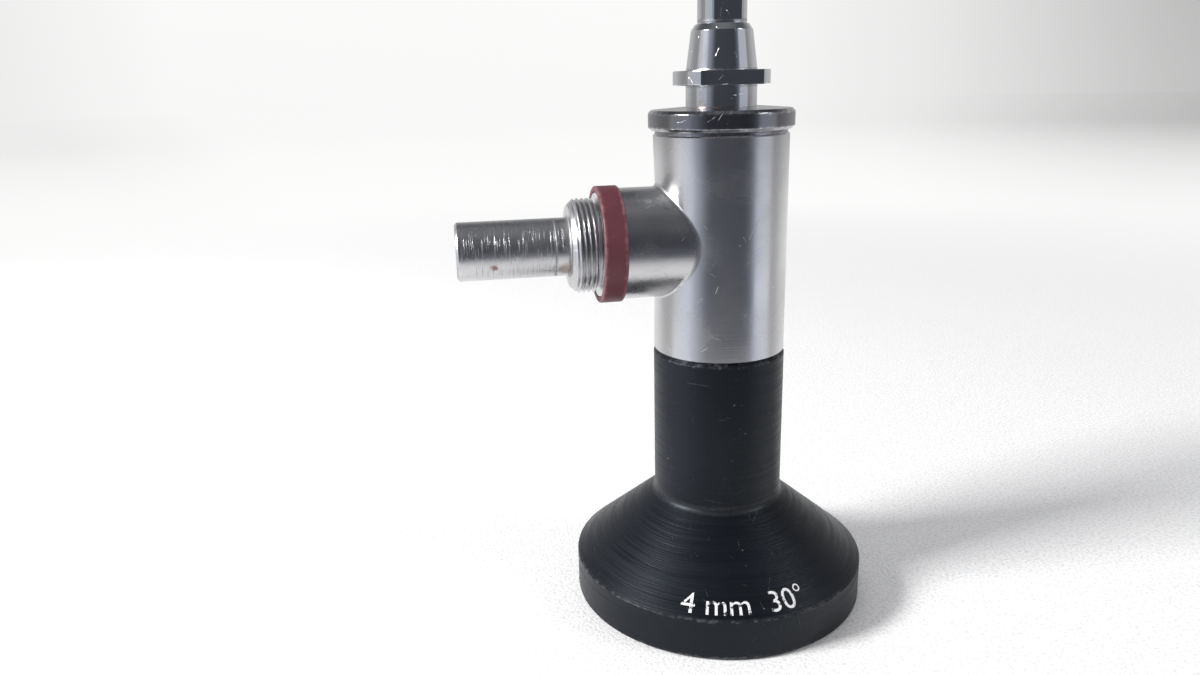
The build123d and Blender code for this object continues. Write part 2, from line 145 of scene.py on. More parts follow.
def length(name, about, value):
    """A length in metres, shown in the scene's own unit."""
    return FloatProperty(name=name, description=about, default=value, unit="LENGTH", precision=6)


def colour(name, about, value):
    """A colour as linear red, green and blue."""
    return FloatVectorProperty(
        name=name, description=about, default=value, subtype="COLOR", size=3, min=0, max=1)


class CupSizes(bpy.types.PropertyGroup):
    """Sizes of the black eyepiece cup"""

    rim_height: length("Rim height", "Height of the cylindrical rim", 4.45 * MM)
    cone_top: length("Cone top", "Where the cone meets the barrel", 11.75 * MM)
    barrel_radius: length("Barrel radius", "Radius of the barrel", 6.95 * MM)
    root_fillet: length("Root fillet", "Fillet between cone and barrel", 0.8 * MM)
    dish_radius: length("Dish radius", "Radius of the dish at the rim face", 13.8 * MM)
    dish_floor_radius: length("Dish floor radius", "Radius of the dish at its floor", 6.2 * MM)
    dish_depth: length("Dish depth", "Depth of the dish", 4.4 * MM)
    window_bore: length("Window bore", "Radius of the bore that holds the window", 5.4 * MM)
    window_top: length("Window top", "Height of the glass window's upper face", 8.2 * MM)
    web_bore: length("Web bore", "Radius of the hole above the window", 4.2 * MM)
    tube_bore: length("Tube bore", "Radius of the bore for the inner tube", 5.72 * MM)
    mark_size: length("Mark size", "Height of the printed characters", 3.0 * MM)


class BodySizes(bpy.types.PropertyGroup):
    """Sizes of the steel body and its branch"""

    branch_radius: length("Branch radius", "Radius of the side branch", 5.67 * MM)
    branch_reach: length("Branch reach", "Distance from the axis to the ring's seat", 10.8 * MM)
    seat_radius: length("Seat radius", "Radius of the seat under the ring", 5.35 * MM)
    post_bore: length("Post bore", "Radius of the bore for the light post", 3.92 * MM)
    tube_bore: length("Tube bore", "Radius of the bore for the inner tube", 5.72 * MM)
    blend: length("Blend", "Width of the blend where branch and body meet", 0.22 * MM)
    edge: length("Edge", "Bevel at the body's two ends", 0.15 * MM)
    ground_depth: length("Ground depth", "How deep the hand grinding round the branch goes", 0.18 * MM)
    ground_width: length("Ground width", "How wide the hand grinding round the branch is", 3.4 * MM)


class TopSizes(bpy.types.PropertyGroup):
    """Sizes of the cap, the coupling, the stem and the shaft"""

    groove: length("Groove", "Height of the groove under the cap", 0.35 * MM)
    groove_radius: length("Groove radius", "Radius of the groove under the cap", 6.69 * MM)
    cap_bevel: length("Cap bevel", "Bevel on the cap's edges", 0.3 * MM)
    cap_crown: length("Cap crown", "How far the cap's top face rises towards the neck", 0.3 * MM)
    cap_thickness: length("Cap thickness", "Thickness of the cap", 2.0 * MM)
    spigot_radius: length("Spigot radius", "Radius of the cap's spigot", 5.7 * MM)
    neck_radius: length("Neck radius", "Radius of the neck", 3.55 * MM)
    neck_length: length("Neck length", "Length of the neck", 2.3 * MM)
    flange_thickness: length("Flange thickness", "Thickness of the lock flange", 1.4 * MM)
    flange_flat: length("Flange flat", "Distance from the axis to the flange's flats", 3.68 * MM)
    cone_base: length("Cone base", "Radius of the cone at the flange", 3.53 * MM)
    cone_tip: length("Cone tip", "Radius of the cone at its upper edge", 3.05 * MM)
    cone_shoulder: length("Cone shoulder", "Radius at the top of the shoulder", 2.65 * MM)
    shoulder_length: length("Shoulder length", "Length of the shoulder", 0.6 * MM)
    tail_radius: length("Tail radius", "Radius of the tail in the cap", 3.0 * MM)
    stem_flat: length("Stem flat", "Distance from the axis to the stem's flats", 2.02 * MM)
    stem_flat_start: length("Stem flat start", "Where the flats start above the cone", 0.3 * MM)
    stem_flat_length: length("Stem flat length", "Length of the stem's flats", 10.5 * MM)
    channel_radius: length("Channel radius", "Radius of the channel for the fibres", 1.82 * MM)
    foot_radius: length("Foot radius", "Radius of the shaft tube's reduced foot", 1.92 * MM)


class PostSizes(bpy.types.PropertyGroup):
    """Sizes of the light post and its band"""

    shank_radius: length("Shank radius", "Radius of the shank in the branch", 3.9 * MM)
    shank_bore: length("Shank bore", "Radius of the bore for the fibres", 1.45 * MM)
    ferrule_bore: length("Ferrule bore", "Radius of the bore for the ferrule", 2.32 * MM)
    ferrule_length: length("Ferrule length", "Depth of the bore for the ferrule", 9.6 * MM)
    undercut: length("Undercut radius", "Radius of the undercut behind the thread", 4.25 * MM)
    undercut_length: length("Undercut length", "Length of the undercut", 0.4 * MM)
    thread_length: length("Thread length", "Length of the threaded collar", 1.85 * MM)
    thread_pitch: length("Thread pitch", "Pitch of the thread", 0.5 * MM)
    thread_depth: length("Thread depth", "Depth of the thread", 0.3 * MM)
    nose_length: length("Nose length", "Length of the bevelled nose", 0.7 * MM)
    nose_radius: length("Nose radius", "Radius of the nose's end face", 4.15 * MM)
    tube_radius: length("Tube radius", "Radius of the smooth plug end", 2.95 * MM)
    tube_bevel: length("Tube bevel", "Bevel at the plug end", 0.25 * MM)
    joint_line: length("Joint line", "Distance of the fine line from the nose", 1.45 * MM)
    band_wall: length("Band wall", "Wall of the coloured band", 0.56 * MM)


class Finishes(bpy.types.PropertyGroup):
    """Colours of the finishes"""

    black: colour("Black", "Turned black of the cup", (0.0036, 0.0044, 0.0068))
    steel: colour("Steel", "Satin steel of the body and post", (0.60, 0.60, 0.61))
    chrome: colour("Chrome", "Polished steel of the coupling", (0.70, 0.71, 0.73))
    cap: colour("Cap", "Dulled polish of the cap", (0.28, 0.28, 0.30))
    band: colour("Band", "Dark red of the band", (0.098, 0.024, 0.034))
    mark: colour("Mark", "White of the printed mark", (0.72, 0.72, 0.72))
    residue: colour("Residue", "Dried residue at the neck", (0.28, 0.13, 0.04))
    rust: colour("Rust", "Rust spots", (0.20, 0.07, 0.035))
    floor: colour("Floor", "Pale floor", (0.93, 0.925, 0.925))


class StageSizes(bpy.types.PropertyGroup):
    """Sizes of the floor and the lens"""

    floor_radius: length("Floor radius", "Radius of the pale floor", 2.5)
    camera_focal: FloatProperty(
        name="Focal length", description="Lens in mm on a 36 mm sensor", default=26.48, unit="CAMERA")


def rounded_path(corners, step):
    """A turned outline as arrays: radius, height, wear and nook.

    Each corner is (radius, height, rounding) with an optional step for the stretch that follows it. A
    rounded corner becomes an arc between its two tangent points, worked out as a turn from one radius
    vector to the other, and a straight stretch is divided evenly. Wear falls from one at outward corners
    to nothing a little way off, nook does the same at inward corners.
    """
    points = np.array([corner[:2] for corner in corners], float)
    count = len(points)
    arcs, turns = [], []
    for i, corner in enumerate(corners):
        here = points[i]
        back = points[i - 1] - here
        ahead = points[(i + 1) % count] - here
        back_length, ahead_length = np.hypot(*back), np.hypot(*ahead)
        back, ahead = back / back_length, ahead / ahead_length
        turns.append(back[1] * ahead[0] - back[0] * ahead[1])
        opening = math.acos(np.clip(back @ ahead, -1, 1))
        arc = here[None, :]
        if corner[2] > 0 and 0.02 < opening < math.pi - 0.02:
            reach = min(corner[2] / math.tan(opening / 2), 0.48 * back_length, 0.48 * ahead_length)
            radius = reach * math.tan(opening / 2)
            middle = here + (back + ahead) / np.hypot(*(back + ahead)) * radius / math.sin(opening / 2)
            first, last = here + back * reach - middle, here + ahead * reach - middle
            sweep = math.pi - opening
            k = np.linspace(0, 1, max(4, int(sweep / ARC_STEP) + 1))[:, None]
            arc = middle + (np.sin((1 - k) * sweep) * first + np.sin(k * sweep) * last) / math.sin(sweep)
        arcs.append(arc)
    rows, marks, place = [], [], 0
    for i, arc in enumerate(arcs):
        rows.append(arc)
        marks.append((place, place + len(arc) - 1, turns[i]))
        place += len(arc)
        start, end = arc[-1], arcs[(i + 1) % count][0]
        span = np.hypot(*(end - start))
        if span > SHORT_STRETCH:
            own_step = corners[i][3] if len(corners[i]) > 3 else step
            strip = min(EDGE_STRIP, span / 4) / span
            even = np.linspace(0, 1, math.ceil(span / own_step) + 1)[1:-1]
            inner = np.unique(np.concatenate([[strip, 1 - strip], even]))
            rows.append(start + inner[:, None] * (end - start))
            place += len(inner)
    line = np.concatenate(rows)
    along = np.concatenate([[0], np.cumsum(np.hypot(*np.diff(line, axis=0).T))])
    whole = along[-1] + np.hypot(*(line[0] - line[-1]))
    wear, nook = np.zeros(len(line)), np.zeros(len(line))
    for first, last, turn in marks:
        away = np.abs(along - (along[first] + along[last]) / 2)
        away = np.maximum(np.minimum(away, whole - away) - (along[last] - along[first]) / 2, 0)
        mask = wear if turn > 0 else nook
        np.maximum(mask, np.exp(-(away / WEAR_FADE) ** 2), out=mask)
    return line[:, 0], line[:, 1], wear, nook


def grid_faces(rows, columns, closed_rows=False, first=0):
    """Corner numbers of the squares between neighbouring rows and columns, where columns wrap round."""
    i, j = np.meshgrid(np.arange(rows if closed_rows else rows - 1), np.arange(columns), indexing="ij")
    up, side = (i + 1) % rows, (j + 1) % columns
    square = np.stack([i * columns + j, i * columns + side, up * columns + side, up * columns + j], -1)
    return square.reshape(-1, 4) + first


def new_object(name, data):
    """A new object at the origin, linked to the scene."""
    thing = bpy.data.objects.new(name, data)
    bpy.context.scene.collection.objects.link(thing)
    return thing


def give_finish(piece, material):
    """Leaves one material on a piece."""
    piece.data.materials.clear()
    piece.data.materials.append(material)


def make_piece(name, points, faces, values, replaced, finish, crease=CREASE):
    """Puts arrays of points and squares into a mesh, merges its seams and poles and lets it ride."""
    mesh = bpy.data.meshes.new(name)
    mesh.from_pydata(points.reshape(-1, 3), [], faces)
    for key, value in values.items():
        attribute = mesh.attributes.new(key, "FLOAT", "POINT")
        attribute.data.foreach_set("value", value.astype(np.float32).ravel())
    work = bmesh.new()
    work.from_mesh(mesh)
    bmesh.ops.remove_doubles(work, verts=work.verts, dist=2e-7)
    bmesh.ops.dissolve_degenerate(work, edges=work.edges, dist=1e-8)
    loose = [vertex for vertex in work.verts if not vertex.link_faces]
    bmesh.ops.delete(work, geom=loose, context="VERTS")
    work.to_mesh(mesh)
    work.free()
    mesh.shade_smooth()
    mesh.set_sharp_from_angle(angle=crease)
    piece = new_object(name, mesh)
    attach(piece, ROOT)
    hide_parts(*replaced)
    give_finish(piece, materials[finish])


def turn_piece(name, corners, replaced, finish, columns=256, axis=AXIS, rule=None, angles=None, step=STEP):
    """A turned piece: each outline point at (radius, height) goes round the axis.

    The point at angle a is radius times (cosine a, sine a) across the axis and its height along it. A
    rule may change radius and height by angle first, for flats, a thread or a slanted end.
    """
    radius, height, wear, nook = rounded_path(corners, step)
    if angles is None:
        angles = np.linspace(0, FULL_TURN, columns, endpoint=False)
    turn = np.broadcast_to(angles, (len(radius), len(angles)))
    across, along, wear, nook = (
        np.repeat(value[:, None], len(angles), 1) for value in (radius, height, wear, nook))
    if rule:
        across, along = rule(across, along, turn)
    local = np.stack([across * np.cos(turn), across * np.sin(turn), along], -1)
    turned = np.array(axis)
    points = local @ turned[:3, :3].T + turned[:3, 3]
    faces = grid_faces(len(radius), len(angles), True)
    make_piece(name, points, faces, {"wear": wear, "nook": nook}, replaced, finish)


def angles_with_flats(half_angle, columns=240):
    """Angles round a piece with two flats that face -Y and +Y, with a point at each end of each flat."""
    ends = np.array([math.pi / 2 - half_angle, math.pi / 2 + half_angle])
    even = np.linspace(0, FULL_TURN, columns, endpoint=False)
    return np.unique(np.round(np.concatenate([even, ends, ends + math.pi]), 9))


def flat_outline(outer, flat, turn):
    """Distance from the axis to a round outline that two flats cut off."""
    return np.minimum(outer, flat / np.maximum(np.abs(np.sin(turn)), 1e-6))


class Graph:
    """Small helper that adds and links shader nodes in one tree."""

    def __init__(self, tree):
        self.tree = tree

    def put(self, value, socket):
        """Links a socket to another, or sets a plain value on it."""
        if isinstance(value, bpy.types.NodeSocket):
            self.tree.links.new(value, socket)
        else:
            socket.default_value = value

    def add(self, kind, values=None, **settings):
        """A shader node of a kind, with its settings and the values of its sockets."""
        node = self.tree.nodes.new("ShaderNode" + kind)
        for key, value in settings.items():
            setattr(node, key, value)
        for key, value in (values or {}).items():
            self.put(value, node.inputs[key])
        return node

    def math(self, operation, first, second=0.0):
        return self.add("Math", {0: first, 1: second}, operation=operation).outputs[0]

    def vector(self, operation, first, second=None, scale=None):
        """Vector maths: a number where the operation gives one, otherwise a vector."""
        values = {0: first, 1: second, 3: scale}
        values = {index: value for index, value in values.items() if value is not None}
        plain = operation in ("DOT_PRODUCT", "DISTANCE", "LENGTH")
        return self.add("VectorMath", values, operation=operation).outputs["Value" if plain else "Vector"]

    def part(self, vector, axis):
        """One of a vector's parts, by its letter."""
        return self.add("SeparateXYZ", {0: vector}).outputs[axis]

    def mix(self, factor, first, second):
        """The first colour where the factor is nothing and the second where it is one."""
        return self.add("Mix", {0: factor, 6: first, 7: second}, data_type="RGBA").outputs[2]

    def plus(self, total, value, share):
        """The total plus a share of the value."""
        return self.math("ADD", total, self.math("MULTIPLY", value, share))

    def cover(self, base, mask, share, tone):
        """The base with a share of a tone laid over it where the mask is."""
        return self.mix(self.math("MULTIPLY", mask, share), base, tone)

    def ramp(self, value, low, high):
        """A smooth step: zero below low and one above high, with low above high for the reverse."""
        return self.add(
            "MapRange", {"Value": value, "From Min": low, "From Max": high, "To Min": 0.0, "To Max": 1.0},
            interpolation_type="SMOOTHSTEP", clamp=True).outputs[0]

    def noise(self, vector, scale, detail=3.0, roughness=0.55):
        return self.add(
            "TexNoise", {"Vector": vector, "Scale": scale, "Detail": detail, "Roughness": roughness}).outputs[0]

    def cells(self, vector, scale):
        return self.add("TexVoronoi", {"Vector": vector, "Scale": scale}, feature="F1").outputs

    def group(self, key, **values):
        """A shared group with its own values, as its outputs."""
        return self.add("Group", values, node_tree=groups[key]).outputs

    def blend(self, factor, first, second):
        """One shader where the factor is nothing and the other where it is one."""
        return self.add("MixShader", {0: factor, 1: first.outputs[0], 2: second.outputs[0]})


class SharedGroup(Graph):
    """A shader node group with named inputs and outputs, shared by several materials."""

    def __init__(self, name, inputs, outputs, kind="NodeSocketFloat"):
        super().__init__(bpy.data.node_groups.new(name, "ShaderNodeTree"))
        for label, value in inputs.items():
            plain = isinstance(value, float)
            socket = self.tree.interface.new_socket(
                label, in_out="INPUT", socket_type="NodeSocketFloat" if plain else "NodeSocketVector")
            socket.default_value = value
        for label in outputs:
            self.tree.interface.new_socket(label, in_out="OUTPUT", socket_type=kind)
        self.inside = [
            socket for socket in self.tree.nodes.new("NodeGroupInput").outputs if socket.name in inputs]
        self.outside = self.tree.nodes.new("NodeGroupOutput")

    def close(self, **values):
        """Links the group's outputs and gives its tree."""
        for label, value in values.items():
            self.put(value, self.outside.inputs[label])
        return self.tree


class Finish(Graph):
    """A material with one principled shader and the piece's own coordinates."""

    def __init__(self, name, roughness, metallic=0.0, **plain):
        self.material = bpy.data.materials.new(name)
        self.material.use_nodes = True
        super().__init__(self.material.node_tree)
        self.shader = self.tree.nodes["Principled BSDF"]
        self.set(Roughness=roughness, Metallic=metallic, **plain)
        self.where = self.add("TexCoord").outputs["Object"]

    def set(self, **values):
        """Puts values on the shader's sockets, with _ for a space in their names."""
        for label, value in values.items():
            self.put(value, self.shader.inputs[label.replace("_", " ")])
        return self.material

    def bump(self, height, strength, distance):
        """Turns a height into the shader's normal."""
        bump = self.add("Bump", {"Height": height, "Strength": strength, "Distance": distance})
        self.set(Normal=bump.outputs[0])


def tool_marks_group():
    """Rings left by the lathe: noise that changes quickly along the axis and slowly round it.

    Height is the fine ripple. Grooves are the few deep rings, where a second such noise is high.
    """
    g = SharedGroup("tool_marks", {"Vector": ORIGIN, "Stretch": (60, 60, 9000)}, ("Height", "Grooves"))
    where, stretch = g.inside
    scaled = g.vector("MULTIPLY", where, stretch)
    fine, coarse = g.noise(scaled, 1.0, 2.0), g.noise(scaled, 0.22, 2.0)
    return g.close(
        Height=g.plus(g.math("MULTIPLY", fine, 0.6), coarse, 0.4),
        Grooves=g.ramp(g.noise(scaled, 0.8, 1.0), 0.55, 0.66))


def worn_edge_group():
    """Wear at outward corners, broken up by noise, and a mask for inward corners."""
    g = SharedGroup("worn_edges", {"Vector": ORIGIN, "Amount": 0.5, "Grain": 900.0}, ("Wear", "Dirt"))
    where, amount, grain = g.inside
    wear = g.add("Attribute", attribute_name="wear").outputs["Fac"]
    nook = g.add("Attribute", attribute_name="nook").outputs["Fac"]
    uneven = g.math("SUBTRACT", g.noise(where, grain, 4.0, 0.7), 0.5)
    low = g.math("SUBTRACT", 1.05, amount)
    return g.close(
        Wear=g.ramp(g.plus(wear, uneven, 2.2), low, 1.45),
        Dirt=g.ramp(g.plus(nook, uneven, 1.2), 0.55, 1.15))


def scratches_group():
    """Straight scratches and round pits, each in its own cell of a cell pattern.

    A plane goes through each cell's middle, square to the turned surface and at a random angle to its
    axis, and the scratch is where that plane meets the surface: its width is the distance to the plane,
    its length the distance to the middle. Two sizes of cells give long and short ones. A pit is a ball
    round the middle of a small cell.
    """
    g = SharedGroup(
        "scratches", {"Vector": ORIGIN, "Share": 0.2, "Pitted": 0.1, "Axis": (0, 0, 1)}, ("Lines", "Pits"))
    where, share, pitted, axis = g.inside
    round_axis = g.vector("NORMALIZE", g.vector("CROSS_PRODUCT", axis, where))

    def cell(scale):
        """The way from the cell's middle, and the cell's random number and random colour."""
        middle = g.cells(where, scale)["Position"]
        chance = g.add("TexWhiteNoise", {"Vector": middle}).outputs
        return g.vector("SUBTRACT", where, middle), chance["Value"], chance["Color"]

    lines = None
    for scale, width, reach in ((330.0, 0.022 * MM, 1.5 * MM), (900.0, 0.014 * MM, 0.55 * MM)):
        away, chance, shades = cell(scale)
        turn = g.math("MULTIPLY", g.part(shades, "Y"), FULL_TURN)
        upward = g.vector("SCALE", axis, scale=g.math("SINE", turn))
        sideways = g.vector("SCALE", round_axis, scale=g.math("COSINE", turn))
        off = g.vector("DOT_PRODUCT", away, g.vector("ADD", upward, sideways))
        thin = g.ramp(g.math("ABSOLUTE", off), width, width * 0.3)
        short = g.ramp(g.vector("LENGTH", away), reach, reach * 0.5)
        line = g.math("MULTIPLY", g.math("MULTIPLY", thin, short), g.math("LESS_THAN", chance, share))
        lines = line if lines is None else g.math("MAXIMUM", lines, line)
    broken = g.ramp(g.noise(where, 2600.0, 2.0), 0.36, 0.5)
    away, chance, shades = cell(700.0)
    size = g.math("MULTIPLY", g.part(shades, "X"), 0.14 * MM)
    pit = g.ramp(g.math("DIVIDE", g.vector("LENGTH", away), g.math("ADD", size, 0.05 * MM)), 1.0, 0.6)
    return g.close(
        Lines=g.math("MULTIPLY", lines, broken), Pits=g.math("MULTIPLY", pit, g.math("LESS_THAN", chance, pitted)))


def dust_group():
    """Small pale specks of uneven outline, more of them where a slow noise is high."""
    g = SharedGroup("dust", {"Vector": ORIGIN, "Amount": 0.5}, ("Specks",))
    where, amount = g.inside
    bent = g.add("TexNoise", {"Vector": where, "Scale": 3000.0, "Detail": 1.0}).outputs["Color"]
    cells = g.cells(g.vector("ADD", where, g.vector("SCALE", bent, scale=0.4 * MM)), 1500.0)
    speck = g.math("MULTIPLY", g.ramp(cells["Distance"], 0.17, 0.08), g.ramp(cells["Color"], 0.80, 0.86))
    dusty = g.ramp(g.noise(where, 160.0, 3.0), g.math("SUBTRACT", 1.0, amount), 0.75)
    return g.close(Specks=g.math("MULTIPLY", speck, dusty))


def stain_group():
    """A stain round one point: distance from the point over the radius, with a ragged edge."""
    g = SharedGroup("stain", {"Vector": ORIGIN, "Centre": ORIGIN, "Radius": 0.5 * MM}, ("Mask",))
    where, centre, radius = g.inside
    share = g.math("DIVIDE", g.vector("DISTANCE", where, centre), radius)
    uneven = g.math("SUBTRACT", g.noise(where, 2600.0), 0.5)
    return g.close(Mask=g.ramp(g.plus(share, uneven, 1.1), 1.0, 0.35))


def rgba(value, factor=1.0):
    """A colour times a factor, with full alpha."""
    return (value[0] * factor, value[1] * factor, value[2] * factor, 1.0)


def black_material(look):
    """Black satin with turned rings, chipped corners, fine dust and a few scratches."""
    g = Finish("turned_black", 0.42, Specular_IOR_Level=0.25, Specular_Tint=(0.82, 0.92, 1.0, 1))
    ripple, grooves = g.group("marks", Vector=g.where, Stretch=CUP_RINGS)
    wear, inward_mask = g.group("edges", Vector=g.where, Amount=0.2, Grain=1500.0)
    lines = g.group("scratches", Vector=g.where, Share=0.16, Pitted=0.05)[0]
    dust = g.group("dust", Vector=g.where, Amount=0.5)[0]
    cloud = g.noise(g.where, 110.0, 4.0)
    base = g.mix(g.ramp(cloud, 0.3, 0.8), rgba(look.black), rgba(look.black, 1.6))
    for mask, share, tone in (
            (wear, 0.5, RUBBED_BLACK), (inward_mask, 0.12, GREY_FILM), (lines, 0.35, SCRATCHED_BLACK), (dust, 0.8, DUST)):
        base = g.cover(base, mask, share, tone)
    rough = g.plus(0.30, g.ramp(ripple, 0.3, 0.7), 0.2)
    g.bump(g.plus(g.plus(ripple, lines, -0.6), grooves, -0.12), 0.8, 0.03 * MM)
    return g.set(Base_Color=base, Roughness=g.plus(rough, wear, 0.1))


def steel_material(name, tint, roughness, stretch, mark_depth, stains=(), soften=0.12, scratched=0.16, groove=0.0,
                   sideways=False):
    """Metal with lathe or polishing marks, cloudy roughness, scratches, pits and stains.

    A stain is (centre, radius, colour, strength) in metres. Scratched is the share of cells that hold a
    scratch, groove says how deep the lathe's few deep rings are, and sideways is for pieces turned round
    the branch's axis.
    """
    g = Finish(name, roughness, 1.0)
    ripple, grooves = g.group("marks", Vector=g.where, Stretch=stretch)
    wear, inward_mask = g.group("edges", Vector=g.where, Amount=0.3, Grain=1500.0)
    centred, axis = g.where, (0, 0, 1)
    if sideways:
        centred = g.add("Mapping", {"Vector": g.where, "Location": (0, 0, -branch_height)}).outputs[0]
        axis = (1, 0, 0)
    lines, pits = g.group("scratches", Vector=centred, Share=scratched, Pitted=0.035, Axis=axis)
    cloud = g.ramp(g.noise(g.where, 170.0, 5.0), 0.3, 0.75)
    base = g.mix(cloud, rgba(tint), rgba(tint, 0.92))
    # Inward corners of the steel are darkened through the nook mask
    for mask, share, tone in ((wear, 0.5, BRIGHT_EDGE), (inward_mask, 0.45, NOOK_DARK), (pits, 0.9, PIT_DIRT)):
        base = g.cover(base, mask, share, tone)
    rough = g.plus(g.plus(g.plus(roughness, cloud, soften), lines, 0.2), inward_mask, 0.25)
    for centre, radius, tone, strength in stains:
        mask = g.math("MULTIPLY", g.group("stain", Vector=g.where, Centre=centre, Radius=radius)[0], strength)
        base = g.mix(mask, base, rgba(tone))
        rough = g.plus(rough, mask, 0.3)
    height = g.plus(g.plus(g.math("MULTIPLY", ripple, mark_depth), lines, -0.9), pits, -1.5)
    if groove:
        height = g.plus(height, grooves, -groove)
    g.bump(height, 0.5, 0.02 * MM)
    return g.set(Base_Color=base, Roughness=rough)


def band_material(look):
    """Dark red plastic, matt, a little faded in clouds and paler at its corners."""
    g = Finish("band_red", 0.5, Specular_IOR_Level=0.4)
    wear = g.group("edges", Vector=g.where, Amount=0.5, Grain=1600.0)[0]
    lines = g.group("scratches", Vector=g.where, Share=0.12, Pitted=0.03)[0]
    cloud = g.noise(g.where, 300.0, 4.0)
    base = g.mix(g.ramp(cloud, 0.3, 0.75), rgba(look.band), rgba(look.band, 1.18))
    base = g.cover(g.cover(base, wear, 0.35, RUBBED_RED), lines, 0.35, SCRATCHED_RED)
    g.bump(g.plus(cloud, lines, -0.5), 0.25, 0.02 * MM)
    return g.set(Base_Color=base, Roughness=g.plus(0.4, cloud, 0.2))


def mark_material(look):
    """White ink, rubbed away in patches so that the black shows through."""
    g = Finish("printed_white", 0.55)
    worn = g.noise(g.where, 1500.0, 5.0, 0.7)
    g.bump(worn, 0.3, 0.01 * MM)
    return g.set(
        Base_Color=g.mix(g.ramp(worn, 0.52, 0.59), rgba(look.mark), rgba(look.black, 2.5)),
        Coat_Weight=g.ramp(worn, 0.66, 0.7))


def glass_material():
    """Clear optical glass with a few fine sleeks."""
    g = Finish("optical_glass", 0.02, Transmission_Weight=1.0, IOR=1.52)
    faint = g.noise(g.where, 900.0, 3.0)
    return g.set(
        Base_Color=g.mix(g.ramp(faint, 0.3, 0.8), rgba(CLEAR), rgba(CLEAR, 0.97)),
        Roughness=g.math("MULTIPLY", faint, 0.05))


def fibre_material():
    """Ends of packed glass fibres in potting: small round cells, pale with dark joints."""
    g = Finish("fibre_ends", 0.3)
    inside = g.ramp(g.cells(g.where, 17000.0)["Distance"], 0.6, 0.3)
    g.bump(inside, 0.2, 0.01 * MM)
    return g.set(
        Base_Color=g.mix(inside, POTTING, FIBRE_END),
        Roughness=g.math("SUBTRACT", 0.55, g.math("MULTIPLY", inside, 0.4)))


def rubber_material():
    """Black seal rubber with a dusty bloom."""
    g = Finish("seal_rubber", 0.6)
    cloud = g.noise(g.where, 700.0, 4.0)
    return g.set(Base_Color=g.mix(g.ramp(cloud, 0.4, 0.8), RUBBER, BLOOM), Roughness=g.plus(0.45, cloud, 0.25))


def black_metal_material():
    """Matt black metal of the inner mounts, with lathe rings."""
    g = Finish("black_metal", 0.5, 0.6)
    ripple = g.group("marks", Vector=g.where, Stretch=MOUNT_RINGS)[0]
    g.bump(ripple, 0.3, 0.02 * MM)
    return g.set(Base_Color=g.mix(ripple, MATT_BLACK, WORN_BLACK), Roughness=g.plus(0.35, ripple, 0.3))


class MakeFinishes(bpy.types.Operator):
    """The shared shader groups and every finish of the object"""

    bl_idname = "endoscope.make_finishes"
    bl_label = "Finishes"

    def execute(self, context):
        look = context.scene.endoscope_look
        groups.update(
            marks=tool_marks_group(), edges=worn_edge_group(), scratches=scratches_group(), dust=dust_group(),
            stain=stain_group())
        seam = cap_high.z + 0.25 * MM
        residue = [
            ((-3.0 * MM, -2.8 * MM, seam), 1.0 * MM, look.residue, 0.7),
            ((-1.6 * MM, -3.7 * MM, seam), 0.8 * MM, look.residue, 0.7),
            ((0.4 * MM, -4.0 * MM, seam), 0.7 * MM, look.residue, 0.5)]
        plug_dirt = [
            ((-23.6 * MM, -2.6 * MM, branch_height - 1.3 * MM), 0.5 * MM, look.rust, 0.7),
            ((-16.4 * MM, -2.2 * MM, branch_height - 1.9 * MM), 1.2 * MM, look.residue, 0.35)]
        materials.update(
            black=black_material(look),
            body=steel_material("satin_steel", look.steel, 0.2, RINGS_Z, 0.4),
            post=steel_material(
                "post_steel", look.steel, 0.27, RINGS_X, 0.7, plug_dirt, scratched=0.3, groove=1.7, sideways=True),
            cap=steel_material("cap_steel", look.cap, 0.14, RINGS_Z, 0.4, residue, 0.1, 0.3),
            chrome=steel_material("polished_steel", look.chrome, 0.07, RINGS_Z, 0.35, residue, 0.08, 0.25),
            shaft=steel_material("shaft_steel", look.steel, 0.14, RINGS_Z, 0.5),
            band=band_material(look), mark=mark_material(look), glass=glass_material(), fibres=fibre_material(),
            rubber=rubber_material(), black_metal=black_metal_material())
        return {"FINISHED"}


class EyepieceCup(bpy.types.Operator):
    """The black cup: rim, cone and barrel with the dish for the eye"""

    bl_idname = "endoscope.eyepiece_cup"
    bl_label = "Eyepiece cup"

    def execute(self, context):
        size = context.scene.endoscope_cup
        rim, top, barrel = cup_high.x, cup_high.z, size.barrel_radius
        web_top = size.window_top + 1.0 * MM
        turn_piece("cup_shell", [
            (size.dish_radius, 0, 0.15 * MM),
            (rim - 0.3 * MM, 0, 0.12 * MM),
            (rim, 0.3 * MM, 0.2 * MM),
            (rim, size.rim_height - 0.06 * MM, 0.16 * MM),
            (rim - 0.12 * MM, size.rim_height, 0.14 * MM),
            (barrel, size.cone_top, size.root_fillet, 0.35 * MM),
            (barrel, top - 0.35 * MM, 0.08 * MM),
            (barrel - 0.35 * MM, top, 0.06 * MM),
            (size.tube_bore, top, 0.05 * MM, 2 * MM),
            (size.tube_bore, web_top, 0),
            (size.web_bore, web_top, 0),
            (size.web_bore, size.window_top, 0),
            (size.window_bore, size.window_top, 0),
            (size.window_bore, size.dish_depth, 0.1 * MM),
            (size.dish_floor_radius, size.dish_depth, 0.15 * MM),
        ], ["eyepiece_cup"], "black", 288)
        return {"FINISHED"}


